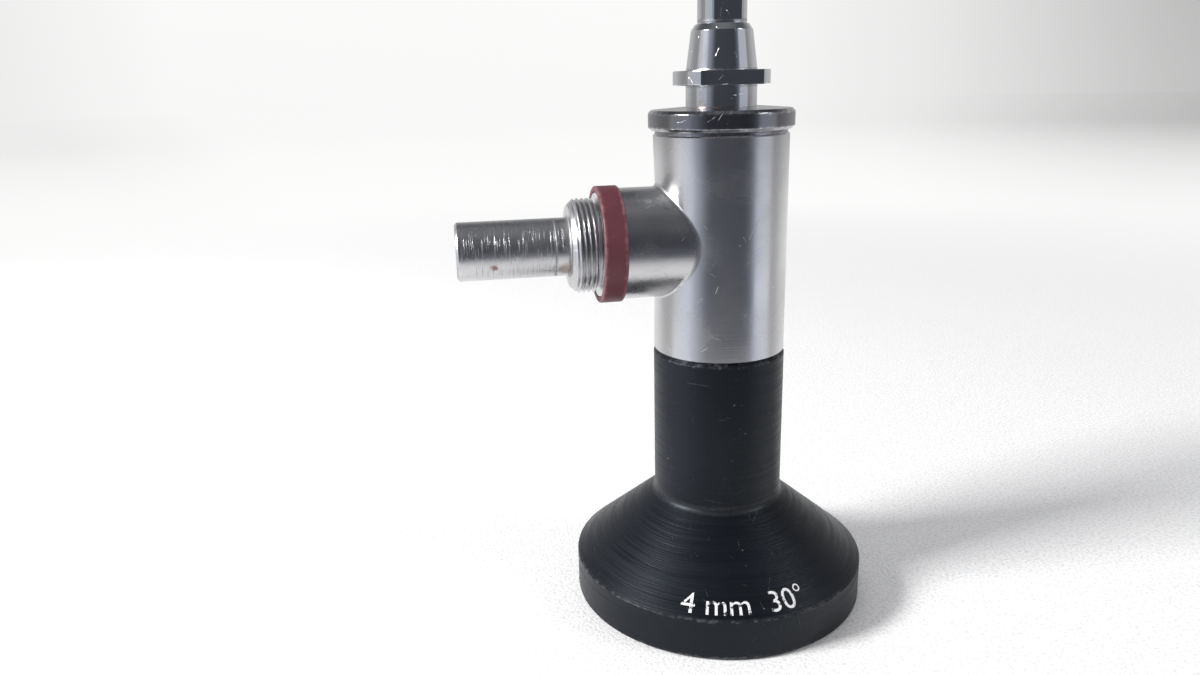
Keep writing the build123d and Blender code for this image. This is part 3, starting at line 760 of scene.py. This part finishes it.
class PrintedMark(bpy.types.Operator):
    """Plain white characters printed on the cone, bent round it"""

    bl_idname = "endoscope.printed_mark"
    bl_label = "Printed mark"

    text: StringProperty(name="Text", description="Plain number on the cone", default="4 mm  30°")
    turn: FloatProperty(name="Turn", description="Degrees round the axis to the mark's middle", default=-95.0)
    lift: length("Lift", "Height of the ink above the surface", 0.012 * MM)

    def execute(self, context):
        size = context.scene.endoscope_cup
        words = bpy.data.curves.new("printed_mark", "FONT")
        words.body, words.size, words.resolution_u = self.text, size.mark_size, 6
        words.align_x, words.align_y = "CENTER", "BOTTOM_BASELINE"
        carrier = new_object("printed_mark_text", words)
        bpy.context.view_layer.update()
        mesh = bpy.data.meshes.new_from_object(carrier)
        bpy.data.objects.remove(carrier)
        work = bmesh.new()
        work.from_mesh(mesh)
        for _ in range(2):
            long_edges = [edge for edge in work.edges if edge.calc_length() > 0.35 * MM]
            bmesh.ops.subdivide_edges(work, edges=long_edges, cuts=1)
            bmesh.ops.triangulate(work, faces=work.faces)
        work.to_mesh(mesh)
        work.free()
        flat = np.zeros(len(mesh.vertices) * 3)
        mesh.vertices.foreach_get("co", flat)
        mesh.vertices.foreach_set("co", self.bend_round_cone(flat.reshape(-1, 3), size).ravel())
        mesh.update()
        piece = new_object("printed_mark", mesh)
        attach(piece, ROOT)
        give_finish(piece, materials["mark"])
        return {"FINISHED"}

    def bend_round_cone(self, flat, size):
        """Wraps flat points round the cone: x becomes an arc at the local radius, y a way up the slope.

        The foot of the print lies a little above the rim. The radius falls in a straight line from the rim
        to the barrel, and each point stands off along the slope's normal by the lift.
        """
        foot_radius, foot_height = cup_high.x - 0.12 * MM, size.rim_height
        run, rise = foot_radius - size.barrel_radius, size.cone_top - foot_height
        slope = math.hypot(run, rise)
        up = flat[:, 1] + 0.55 * MM
        radius = foot_radius - up * run / slope + self.lift * rise / slope
        height = foot_height + up * rise / slope + self.lift * run / slope
        middle = foot_radius - 1.8 * MM * run / slope
        angle = math.radians(self.turn) + flat[:, 0] / middle
        return np.stack([radius * np.cos(angle), radius * np.sin(angle), height], -1)


class MainBody(bpy.types.Operator):
    """The steel body with its branch, ground by hand where the two meet"""

    bl_idname = "endoscope.main_body"
    bl_label = "Main body"

    def execute(self, context):
        size = context.scene.endoscope_body
        points, way, around, nook = self.outer_skin(size)
        rows, columns = points.shape[:2]
        radius = body_high.x
        # Bevels, end faces and bore: each (radius, height) goes round the axis at the skin's own angles
        turn = math.pi - around[:-1] / radius
        path = (
            (radius, body_high.z - size.edge), (radius - size.edge, body_high.z), (size.tube_bore, body_high.z),
            (size.tube_bore, body_low.z), (radius - size.edge, body_low.z), (radius, body_low.z + size.edge))
        ends = np.array([
            np.stack([r * np.cos(turn), r * np.sin(turn), np.full_like(turn, h)], -1) for r, h in path])
        # Seat and bore of the branch: each (radius, distance from the axis) goes round the branch
        seat_end, chamfer, bore_end = -body_low.x, 0.08 * MM, radius + 0.3 * MM
        path = (
            (size.branch_radius, size.branch_reach - BRANCH_LIP),
            (size.branch_radius - BRANCH_LIP, size.branch_reach), (size.seat_radius, size.branch_reach),
            (size.seat_radius, seat_end - chamfer), (size.seat_radius - chamfer, seat_end),
            (size.post_bore, seat_end), (size.post_bore, bore_end), (0, bore_end))
        branch = np.array([
            np.stack([np.full_like(way, -s), r * np.cos(way), branch_height + r * np.sin(way)], -1)
            for r, s in path])
        outer_count, end_count = rows * columns, ends.shape[0] * ends.shape[1]
        faces = [
            grid_faces(rows, columns)[:, ::-1],
            grid_faces(len(ends), len(turn), first=outer_count),
            grid_faces(len(branch), columns, first=outer_count + end_count)[:, ::-1]]
        flat = np.concatenate([part.reshape(-1, 3) for part in (points, ends, branch)])
        nook = np.concatenate([nook.ravel(), np.zeros(len(flat) - outer_count)])
        make_piece(
            "body_shell", flat, np.concatenate(faces), {"wear": np.zeros(len(flat)), "nook": nook},
            ["main_body"], "body", math.radians(28))
        return {"FINISHED"}

    @staticmethod
    def outer_skin(size, columns=96, rings=56, side_points=49, blend_rows=7, wall_rows=13):
        """The outside of the body with its branch, as (points, way, around, nook).

        The cylinder is unrolled: across is radius times the angle from -X, and height is up. The unrolled
        rectangle's outline is walked in even steps, each step gives a way out from the branch's centre, and
        rings run in straight lines from the branch's foot to the outline. On the branch the same ways go
        out along -X. Between the two, a blend follows a quadratic curve whose middle control point is the
        sharp corner. The ground hollow lowers the cylinder near the branch by a bell curve that is
        strongest above it.
        """
        radius, branch = body_high.x, size.branch_radius
        low, high = body_low.z + size.edge, body_high.z - size.edge
        half = math.pi * radius
        side = np.linspace(low, high, side_points) - branch_height
        around = np.linspace(half, -half, columns + 1)
        upright = np.full(side_points - 1, half)
        across = np.concatenate([upright, around[:-1], -upright, around[::-1][:-1]])
        up = np.concatenate([
            side[:-1], np.full(columns, side[-1]), side[::-1][:-1], np.full(columns, side[0])])
        way = np.arctan2(up, across)

        def on_body(u, v):
            """Rolls the flat sheet round the axis, less the ground hollow."""
            away = np.maximum(np.hypot(u, v) - branch, 0)
            above = np.clip(v / np.maximum(np.hypot(u, v), 1e-9), 0, 1) ** 2
            sunk = size.ground_depth * np.exp(-(away / size.ground_width) ** 2) * (0.25 + 0.75 * above)
            reach = radius - sunk * np.clip(away / (0.3 * MM), 0, 1)
            return np.stack([-reach * np.cos(u / radius), reach * np.sin(u / radius), v + branch_height], -1)

        y, foot_v = (branch + size.blend) * np.cos(way), (branch + size.blend) * np.sin(way)
        foot_u = radius * np.arcsin(np.clip(y / radius, -1, 1))
        start = on_body(foot_u, foot_v)
        depth = np.sqrt(radius ** 2 - (branch * np.cos(way)) ** 2)
        sharp = np.stack([-depth, branch * np.cos(way), branch_height + branch * np.sin(way)], -1)
        end = sharp - np.array([size.blend, 0, 0])
        t = np.linspace(0, 1, blend_rows)[:, None, None]
        blend = (1 - t) ** 2 * start + 2 * t * (1 - t) * sharp + t ** 2 * end
        share = np.linspace(1, 0, rings)[:-1, None] ** 1.35
        outer = on_body(foot_u + share * (across - foot_u), foot_v + share * (up - foot_v))
        s = np.linspace(0, 1, wall_rows + 1)[1:, None]
        wall_x = (1 - s) * end[:, 0] + s * -(size.branch_reach - BRANCH_LIP)
        wall = np.stack([wall_x, *(np.repeat(end[None, :, i], wall_rows, 0) for i in (1, 2))], -1)
        points = np.concatenate([outer, blend, wall])
        nook = np.zeros(points.shape[:2])
        # The blend where branch meets body counts as an inward corner, so it is darkened there
        nook[len(outer):len(outer) + blend_rows] = 0.6
        return points, way, around, nook


class BodyCap(bpy.types.Operator):
    """The polished disc on the body"""

    bl_idname = "endoscope.body_cap"
    bl_label = "Body cap"

    def execute(self, context):
        size = context.scene.endoscope_top
        top, outer, bevel = cap_high.z, cap_high.x, size.cap_bevel
        floor = top - size.cap_thickness
        body_top = floor - size.groove
        turn_piece("cap_disc", [
            (size.tail_radius, cap_low.z, 0),
            (size.spigot_radius, cap_low.z, 0),
            (size.spigot_radius, body_top, 0),
            (size.groove_radius, body_top, 0),
            (size.groove_radius, floor, 0.05 * MM),
            (outer - bevel, floor, 0.06 * MM),
            (outer, floor + bevel, 0.1 * MM),
            (outer, top - bevel, 0.1 * MM),
            (outer - bevel, top, 0.1 * MM),
            (size.tail_radius, top + size.cap_crown, 0, 1 * MM),
        ], ["body_cap"], "cap")
        return {"FINISHED"}


class SheathCoupling(bpy.types.Operator):
    """Neck, lock flange with two flats and cone"""

    bl_idname = "endoscope.sheath_coupling"
    bl_label = "Sheath coupling"

    def execute(self, context):
        size = context.scene.endoscope_top
        top, floor, cap_top = coupling_high.z, coupling_low.z, cap_high.z
        inner, flange, flat = size.neck_radius, coupling_high.x, size.flange_flat
        flange_floor = cap_top + size.neck_length
        flange_top = flange_floor + size.flange_thickness

        def cut_flats(across, along, turn):
            """Between the neck and the outline, the radius is stretched so that it ends on the flat."""
            outline = flat_outline(flange, flat, turn)
            squeezed = inner + (across - inner) * (outline - inner) / (flange - inner)
            on_flange = (across > inner) & (along > flange_floor - MM) & (along < flange_top + MM)
            return np.where(on_flange, squeezed, across), along

        turn_piece("coupling_turned", [
            (size.channel_radius, floor, 0),
            (size.tail_radius, floor, 0),
            (size.tail_radius, cap_top, 0),
            (inner, cap_top, 0),
            (inner, flange_floor, 0.06 * MM, 0.1 * MM),
            (flange, flange_floor, 0.1 * MM, 0.2 * MM),
            (flange, flange_top, 0.1 * MM, 0.1 * MM),
            (size.cone_base, flange_top, 0.05 * MM, 0.3 * MM),
            (size.cone_tip, top - size.shoulder_length, 0.08 * MM),
            (size.cone_shoulder, top, 0.05 * MM),
            (stem_high.x, top, 0),
            (stem_high.x, stem_low.z, 0),
            (size.channel_radius, stem_low.z, 0),
        ], ["sheath_coupling"], "chrome", rule=cut_flats,
            angles=angles_with_flats(math.acos(flat / flange)))
        return {"FINISHED"}


class Shaft(bpy.types.Operator):
    """The stem with its two flats and the long thin tube"""

    bl_idname = "endoscope.shaft"
    bl_label = "Stem and shaft"

    def execute(self, context):
        size = context.scene.endoscope_top
        outer, top, flat = stem_high.x, stem_high.z, size.stem_flat
        flat_low = coupling_high.z + size.stem_flat_start
        flat_high = flat_low + size.stem_flat_length
        shaft_radius, middle = shaft_high.x, self.tip_height()
        step_height = 0.001 * MM

        def cut_flats(across, along, turn):
            """On the flatted stretch, no point is further from the axis plane than the flat."""
            inside = (along > flat_low - step_height / 2) & (along < flat_high + step_height / 2)
            return np.where(
                inside & (across > flat), np.minimum(across, flat_outline(outer, flat, turn)), across), along

        turn_piece("stem_turned", [
            (size.channel_radius, stem_low.z, 0),
            (outer, stem_low.z, 0),
            (outer, flat_low - step_height, 0),
            (outer, flat_low, 0),
            (outer, flat_high, 0),
            (outer, flat_high + step_height, 0),
            (outer, top - 0.4 * MM, 0.15 * MM),
            (shaft_radius, top, 0),
            (size.foot_radius, shaft_low.z, 0),
            (size.channel_radius, shaft_low.z, 0),
        ], ["shaft_stem"], "chrome", rule=cut_flats,
            angles=angles_with_flats(math.acos(flat / outer), 192))

        slant = (shaft_high.z - middle) / shaft_radius
        fade = 5 * MM

        def slant_tip(across, along, turn):
            """The end falls with the distance along X, which tilts its plane, and this fades out below it."""
            share = np.clip((along - middle) / fade + 1, 0, 1)
            return across, along - share * slant * across * np.cos(turn)

        turn_piece("shaft_drawn", [
            (size.channel_radius, shaft_low.z, 0, 5 * MM),
            (size.foot_radius, shaft_low.z, 0),
            (shaft_radius, top, 0, 5 * MM),
            (shaft_radius, middle, 0),
            (size.channel_radius, middle, 0, 5 * MM),
        ], ["shaft_tube"], "shaft", 128, rule=slant_tip)
        return {"FINISHED"}

    @staticmethod
    def tip_height():
        """Middle of the slanted tip: halfway between the tube's highest point and the low side."""
        mesh = frame["nodes"]["shaft_tube"].data
        points = np.zeros(len(mesh.vertices) * 3)
        mesh.vertices.foreach_get("co", points)
        points = points.reshape(-1, 3)
        tall = points[points[:, 2] > stem_high.z + MM]
        low_side = tall[tall[:, 0] > shaft_high.x * 0.97, 2].min()
        return (shaft_high.z + low_side) / 2


class LightPost(bpy.types.Operator):
    """The light post with its cut thread and the coloured band behind it"""

    bl_idname = "endoscope.light_post"
    bl_label = "Light post"

    def execute(self, context):
        size = context.scene.endoscope_post
        start, end, seat_end = -post_high.x, -post_low.x, -body_low.x
        thread_radius, tube = post_high.y, size.tube_radius
        thread_start = seat_end + size.undercut_length
        thread_end = thread_start + size.thread_length
        nose_end = thread_end + size.nose_length
        line = nose_end + size.joint_line
        ferrule_end = end - size.ferrule_length

        def cut_thread(across, along, turn):
            """A V-shaped groove on a helix: its depth follows height over pitch less the share of a turn."""
            phase = (along / size.thread_pitch - turn / FULL_TURN) % 1.0
            groove = np.clip(1.25 * (1 - np.abs(2 * phase - 1)) - 0.12, 0, 1)
            threaded = thread_radius - size.thread_depth * groove
            on_collar = (across > size.nose_radius) & (along > thread_start - 1e-7)
            return np.where(on_collar, np.minimum(across, threaded), across), along

        turn_piece("post_turned", [
            (size.shank_bore, start, 0),
            (size.shank_radius, start, 0),
            (size.shank_radius, seat_end, 0),
            (size.undercut, seat_end, 0.05 * MM),
            (size.undercut, thread_start, 0),
            (thread_radius, thread_start, 0.03 * MM, 0.028 * MM),
            (thread_radius, thread_end, 0.05 * MM, 0.05 * MM),
            (size.nose_radius, nose_end, 0.12 * MM),
            (tube + 0.08 * MM, nose_end, 0.05 * MM),
            (tube, nose_end + 0.08 * MM, 0.05 * MM),
            (tube, line, 0.01 * MM),
            (tube - 0.035 * MM, line + 0.04 * MM, 0),
            (tube, line + 0.08 * MM, 0.01 * MM, 0.6 * MM),
            (tube, end - size.tube_bevel, 0.08 * MM),
            (tube - size.tube_bevel, end, 0.05 * MM),
            (size.ferrule_bore, end, 0.03 * MM),
            (size.ferrule_bore, ferrule_end, 0),
            (size.shank_bore, ferrule_end, 0),
        ], ["light_post"], "post", 192, POST_AXIS, rule=cut_thread)
        outer, low, high = band_high.y, -band_high.x, -band_low.x
        inner = outer - size.band_wall
        turn_piece(
            "band_ring",
            [(inner, low, 0.04 * MM), (outer, low, 0.16 * MM), (outer, high, 0.16 * MM), (inner, high, 0.06 * MM)],
            ["colour_ring"], "band", 192, POST_AXIS, step=0.25 * MM)
        return {"FINISHED"}


class InnerPieces(bpy.types.Operator):
    """Finishes for the pieces that keep their own form: glass, seals, mounts and fibres"""

    bl_idname = "endoscope.inner_pieces"
    bl_label = "Inner pieces"

    def execute(self, context):
        slots = {row["node"]: row["material_slot"] for row in frame["record"]["subparts"]}
        by_slot = {
            "black_cup": "black", "black_metal": "black_metal", "satin_steel": "body", "polished_steel": "chrome",
            "red_band": "band", "seal_rubber": "rubber", "optical_glass": "glass", "fibre_glass": "fibres"}
        for name, node in frame["nodes"].items():
            give_finish(node, materials[by_slot[slots[name]]])
        return {"FINISHED"}


class Stage(bpy.types.Operator):
    """Pale floor, soft lights, white surroundings and the camera"""

    bl_idname = "endoscope.stage"
    bl_label = "Stage"

    def execute(self, context):
        size = context.scene.endoscope_stage
        groups.update(reflection=self.reflection_group(), backdrop=self.backdrop_group())
        self.make_floor(size, context.scene.endoscope_look)
        self.make_world()
        for lamp in LAMPS:
            self.make_light(*lamp)
        self.make_camera(size)
        context.scene.view_settings.view_transform = "Standard"
        return {"FINISHED"}

    @staticmethod
    def reflection_group():
        """How bright the studio looks in a polished surface, by compass direction.

        The walls are mid-grey, a little darker towards +X. Bright lobes are added for the lit side behind
        the object and for two narrow patches left and right of it. A wide lobe towards -Y, where the
        camera stands, is darkened, and the tone is cooler on that side.
        """
        g = SharedGroup("studio_reflection", {"Direction": ORIGIN}, ("Tone",), "NodeSocketColor")
        direction = g.inside[0]
        level = g.add("CombineXYZ", {"X": g.part(direction, "X"), "Y": g.part(direction, "Y")}).outputs[0]
        unit = g.vector("NORMALIZE", level)

        def lobe(azimuth, edge, core):
            azimuth = math.radians(azimuth)
            share = g.vector("DOT_PRODUCT", unit, (math.cos(azimuth), math.sin(azimuth), 0))
            return g.ramp(share, math.cos(math.radians(edge)), math.cos(math.radians(core)))

        loss = g.math("MULTIPLY", g.ramp(g.part(unit, "X"), -0.3, 0.6), RIGHT_LOSS)
        tone = g.math("SUBTRACT", REFLECTED_TONE, loss)
        for azimuth, edge, core, added in BRIGHT_LOBES:
            tone = g.plus(tone, lobe(azimuth, edge, core), added)
        light = g.math("SUBTRACT", 1.0, g.math("MULTIPLY", lobe(*DARK_LOBE), DARK_SHARE))
        hue = g.mix(lobe(*COOL_LOBE), WHITE, COOL_HUE)
        return g.close(Tone=g.mix(g.math("MULTIPLY", tone, light), BLACK, hue))

    @staticmethod
    def backdrop_group():
        """The pale backdrop as the camera sees it: white, falling to grey towards the right as painted shade."""
        g = SharedGroup("backdrop", {"Direction": ORIGIN}, ("Tone",), "NodeSocketColor")
        direction = g.inside[0]
        share = g.vector("DOT_PRODUCT", direction, BACKDROP_ACROSS)
        ramp = g.add("ValToRGB", {0: g.plus(0.5, share, 0.87)})
        steps = ramp.color_ramp.elements
        while len(steps) < len(BACKDROP_TONES):
            steps.new(0.5)
        for step, (place, tone) in zip(steps, BACKDROP_TONES):
            step.position, step.color = place, (tone, tone, tone * 0.995, 1)
        low = g.ramp(g.part(direction, "Z"), 0.09, -0.02)
        return g.close(Tone=g.cover(ramp.outputs[0], low, 0.12, HORIZON))

    @staticmethod
    def make_floor(size, look):
        """A round floor with a fine grain: rings whose radii grow by an even factor, closed at the middle.

        Near the object it is plain paper in the lamps' light. Further off, it glows for the camera with the
        backdrop's tone, painted shade included, and for polished metal with the studio's tone, a painted reflection
        dimmer further away.
        """
        radii = np.concatenate([[0], np.geomspace(0.01, size.floor_radius, 40)])
        angles = np.linspace(0, FULL_TURN, 96, endpoint=False)
        across = radii[:, None]
        level = np.full((len(radii), len(angles)), -FLOOR_DROP)
        points = np.stack([across * np.cos(angles), across * np.sin(angles), level], -1)
        mesh = bpy.data.meshes.new("pale_floor")
        mesh.from_pydata(points.reshape(-1, 3), [], grid_faces(len(radii), len(angles))[:, ::-1])
        work = bmesh.new()
        work.from_mesh(mesh)
        bmesh.ops.remove_doubles(work, verts=work.verts, dist=1e-7)
        work.to_mesh(mesh)
        work.free()
        floor = new_object("pale_floor", mesh)
        g = Finish("pale_floor", 0.85, Specular_IOR_Level=0.2)
        grain = g.noise(g.where, 2900.0, 3.0, 0.7)
        g.set(Base_Color=g.mix(g.ramp(grain, 0.3, 0.6), rgba(look.floor, 0.80), rgba(look.floor, 1.03)))
        g.bump(grain, 0.7, 0.16 * MM)
        away = g.vector("LENGTH", g.where)
        path = g.add("LightPath").outputs
        far_tone = g.group("backdrop", Direction=g.vector("NORMALIZE", g.where))[0]
        # Painted: for camera rays the far floor glows white, then with the backdrop's painted shade
        glow = g.add("Emission", {"Color": g.mix(g.ramp(away, 0.12, 1.2), PAPER, far_tone), "Strength": 1.0})
        far = g.math("MULTIPLY", g.ramp(away, 0.07, 0.36), path["Is Camera Ray"])
        seen = g.blend(far, g.shader, glow)
        # Painted reflection: for glossy rays the far floor glows with the studio's tone, dimmer further off
        dim = g.math("SUBTRACT", 1.0, g.math("MULTIPLY", g.ramp(away, 0.2, 1.0), 0.5))
        mirror_tone = g.group("reflection", Direction=g.where)[0]
        mirrored = g.add("Emission", {"Color": g.mix(dim, BLACK, mirror_tone), "Strength": 1.0})
        far = g.math("MULTIPLY", g.ramp(away, 0.03, 0.11), path["Is Glossy Ray"])
        last = g.blend(far, seen, mirrored)
        g.put(last.outputs[0], g.tree.nodes["Material Output"].inputs["Surface"])
        give_finish(floor, g.material)

    @staticmethod
    def make_world():
        """Soft even light on the object, with the backdrop for the camera and the studio for polished metal."""
        world = bpy.data.worlds.new("studio")
        bpy.context.scene.world = world
        world.use_nodes = True
        world.node_tree.nodes.clear()
        g = Graph(world.node_tree)
        direction = g.add("TexCoord").outputs["Generated"]
        path = g.add("LightPath").outputs
        height = g.part(direction, "Z")
        ceiling = g.cover(CEILING, g.ramp(height, 0.8, 0.97), 0.1, CEILING_LIGHT)
        walls = g.mix(WALL_SHARE, BLACK, g.group("reflection", Direction=direction)[0])
        tone = g.mix(g.ramp(height, 0.75, 0.25), ceiling, walls)
        room = g.add("Background", {"Color": ROOM_COLOUR, "Strength": ROOM_STRENGTH})
        mirrored = g.add("Background", {"Color": tone, "Strength": 1.0})
        seen = g.add("Background", {"Color": g.group("backdrop", Direction=direction)[0], "Strength": 1.0})
        last = g.blend(path["Is Camera Ray"], g.blend(path["Is Glossy Ray"], room, mirrored), seen)
        g.add("OutputWorld", {"Surface": last.outputs[0]})

    @staticmethod
    def make_light(name, azimuth, elevation, width, power, mirrored):
        """A square soft light, at an even distance from the object and aimed at it."""
        azimuth, elevation = math.radians(azimuth), math.radians(elevation)
        lamp = bpy.data.lights.new(name, "AREA")
        lamp.size, lamp.energy = width, power
        light = new_object(name, lamp)
        light.visible_glossy = mirrored
        away = Vector((
            math.cos(elevation) * math.cos(azimuth), math.cos(elevation) * math.sin(azimuth), math.sin(elevation)))
        light.location = Vector(LAMP_TARGET) + LAMP_DISTANCE * away
        light.rotation_euler = (-away).to_track_quat("-Z", "Y").to_euler()

    @staticmethod
    def make_camera(size):
        """The photograph's view: place, heading, pitch and roll found from the object's outlines."""
        heading, pitch, roll = VIEW_HEADING, VIEW_PITCH, VIEW_ROLL
        ahead = Vector((
            math.sin(heading) * math.cos(pitch), math.cos(heading) * math.cos(pitch), -math.sin(pitch)))
        right = Vector((math.cos(heading), -math.sin(heading), 0))
        up = right.cross(ahead)
        right_rolled = math.cos(roll) * right + math.sin(roll) * up
        up_rolled = math.cos(roll) * up - math.sin(roll) * right
        turn = Matrix((right_rolled, up_rolled, -ahead)).transposed().to_4x4()
        lens = bpy.data.cameras.new("photo_view")
        lens.sensor_width, lens.lens, lens.clip_start = SENSOR_WIDTH, size.camera_focal, 0.001
        lens.shift_y = VIEW_SHIFT
        camera = new_object("photo_view", lens)
        camera.matrix_world = Matrix.Translation(Vector(VIEW_PLACE) * MM) @ turn
        bpy.context.scene.camera = camera


OPERATORS = (
    MakeFinishes, EyepieceCup, PrintedMark, MainBody, BodyCap, SheathCoupling, Shaft, LightPost, InnerPieces, Stage)
PROPERTIES = {
    "endoscope_cup": CupSizes, "endoscope_body": BodySizes, "endoscope_top": TopSizes,
    "endoscope_post": PostSizes, "endoscope_look": Finishes, "endoscope_stage": StageSizes}


class ENDOSCOPE_PT_panel(bpy.types.Panel):
    """Every step as a button, and every size and colour below them"""

    bl_label = "Endoscope"
    bl_idname = "ENDOSCOPE_PT_panel"
    bl_space_type = "VIEW_3D"
    bl_region_type = "UI"
    bl_category = "Endoscope"

    def draw(self, context):
        for operator in OPERATORS:
            self.layout.operator(operator.bl_idname)
        for key in PROPERTIES:
            group = getattr(context.scene, key)
            box = self.layout.box()
            for field in group.__annotations__:
                box.prop(group, field)


def register():
    for group in PROPERTIES.values():
        bpy.utils.register_class(group)
    for key, group in PROPERTIES.items():
        setattr(bpy.types.Scene, key, PointerProperty(type=group))
    for operator in OPERATORS:
        bpy.utils.register_class(operator)
    bpy.utils.register_class(ENDOSCOPE_PT_panel)


def unregister():
    bpy.utils.unregister_class(ENDOSCOPE_PT_panel)
    for operator in reversed(OPERATORS):
        bpy.utils.unregister_class(operator)
    for key in PROPERTIES:
        delattr(bpy.types.Scene, key)
    for group in reversed(list(PROPERTIES.values())):
        bpy.utils.unregister_class(group)


def main():
    register()
    for operator in OPERATORS:
        family, name = operator.bl_idname.split(".")
        getattr(getattr(bpy.ops, family), name)()


if __name__ == "__main__":
    main()
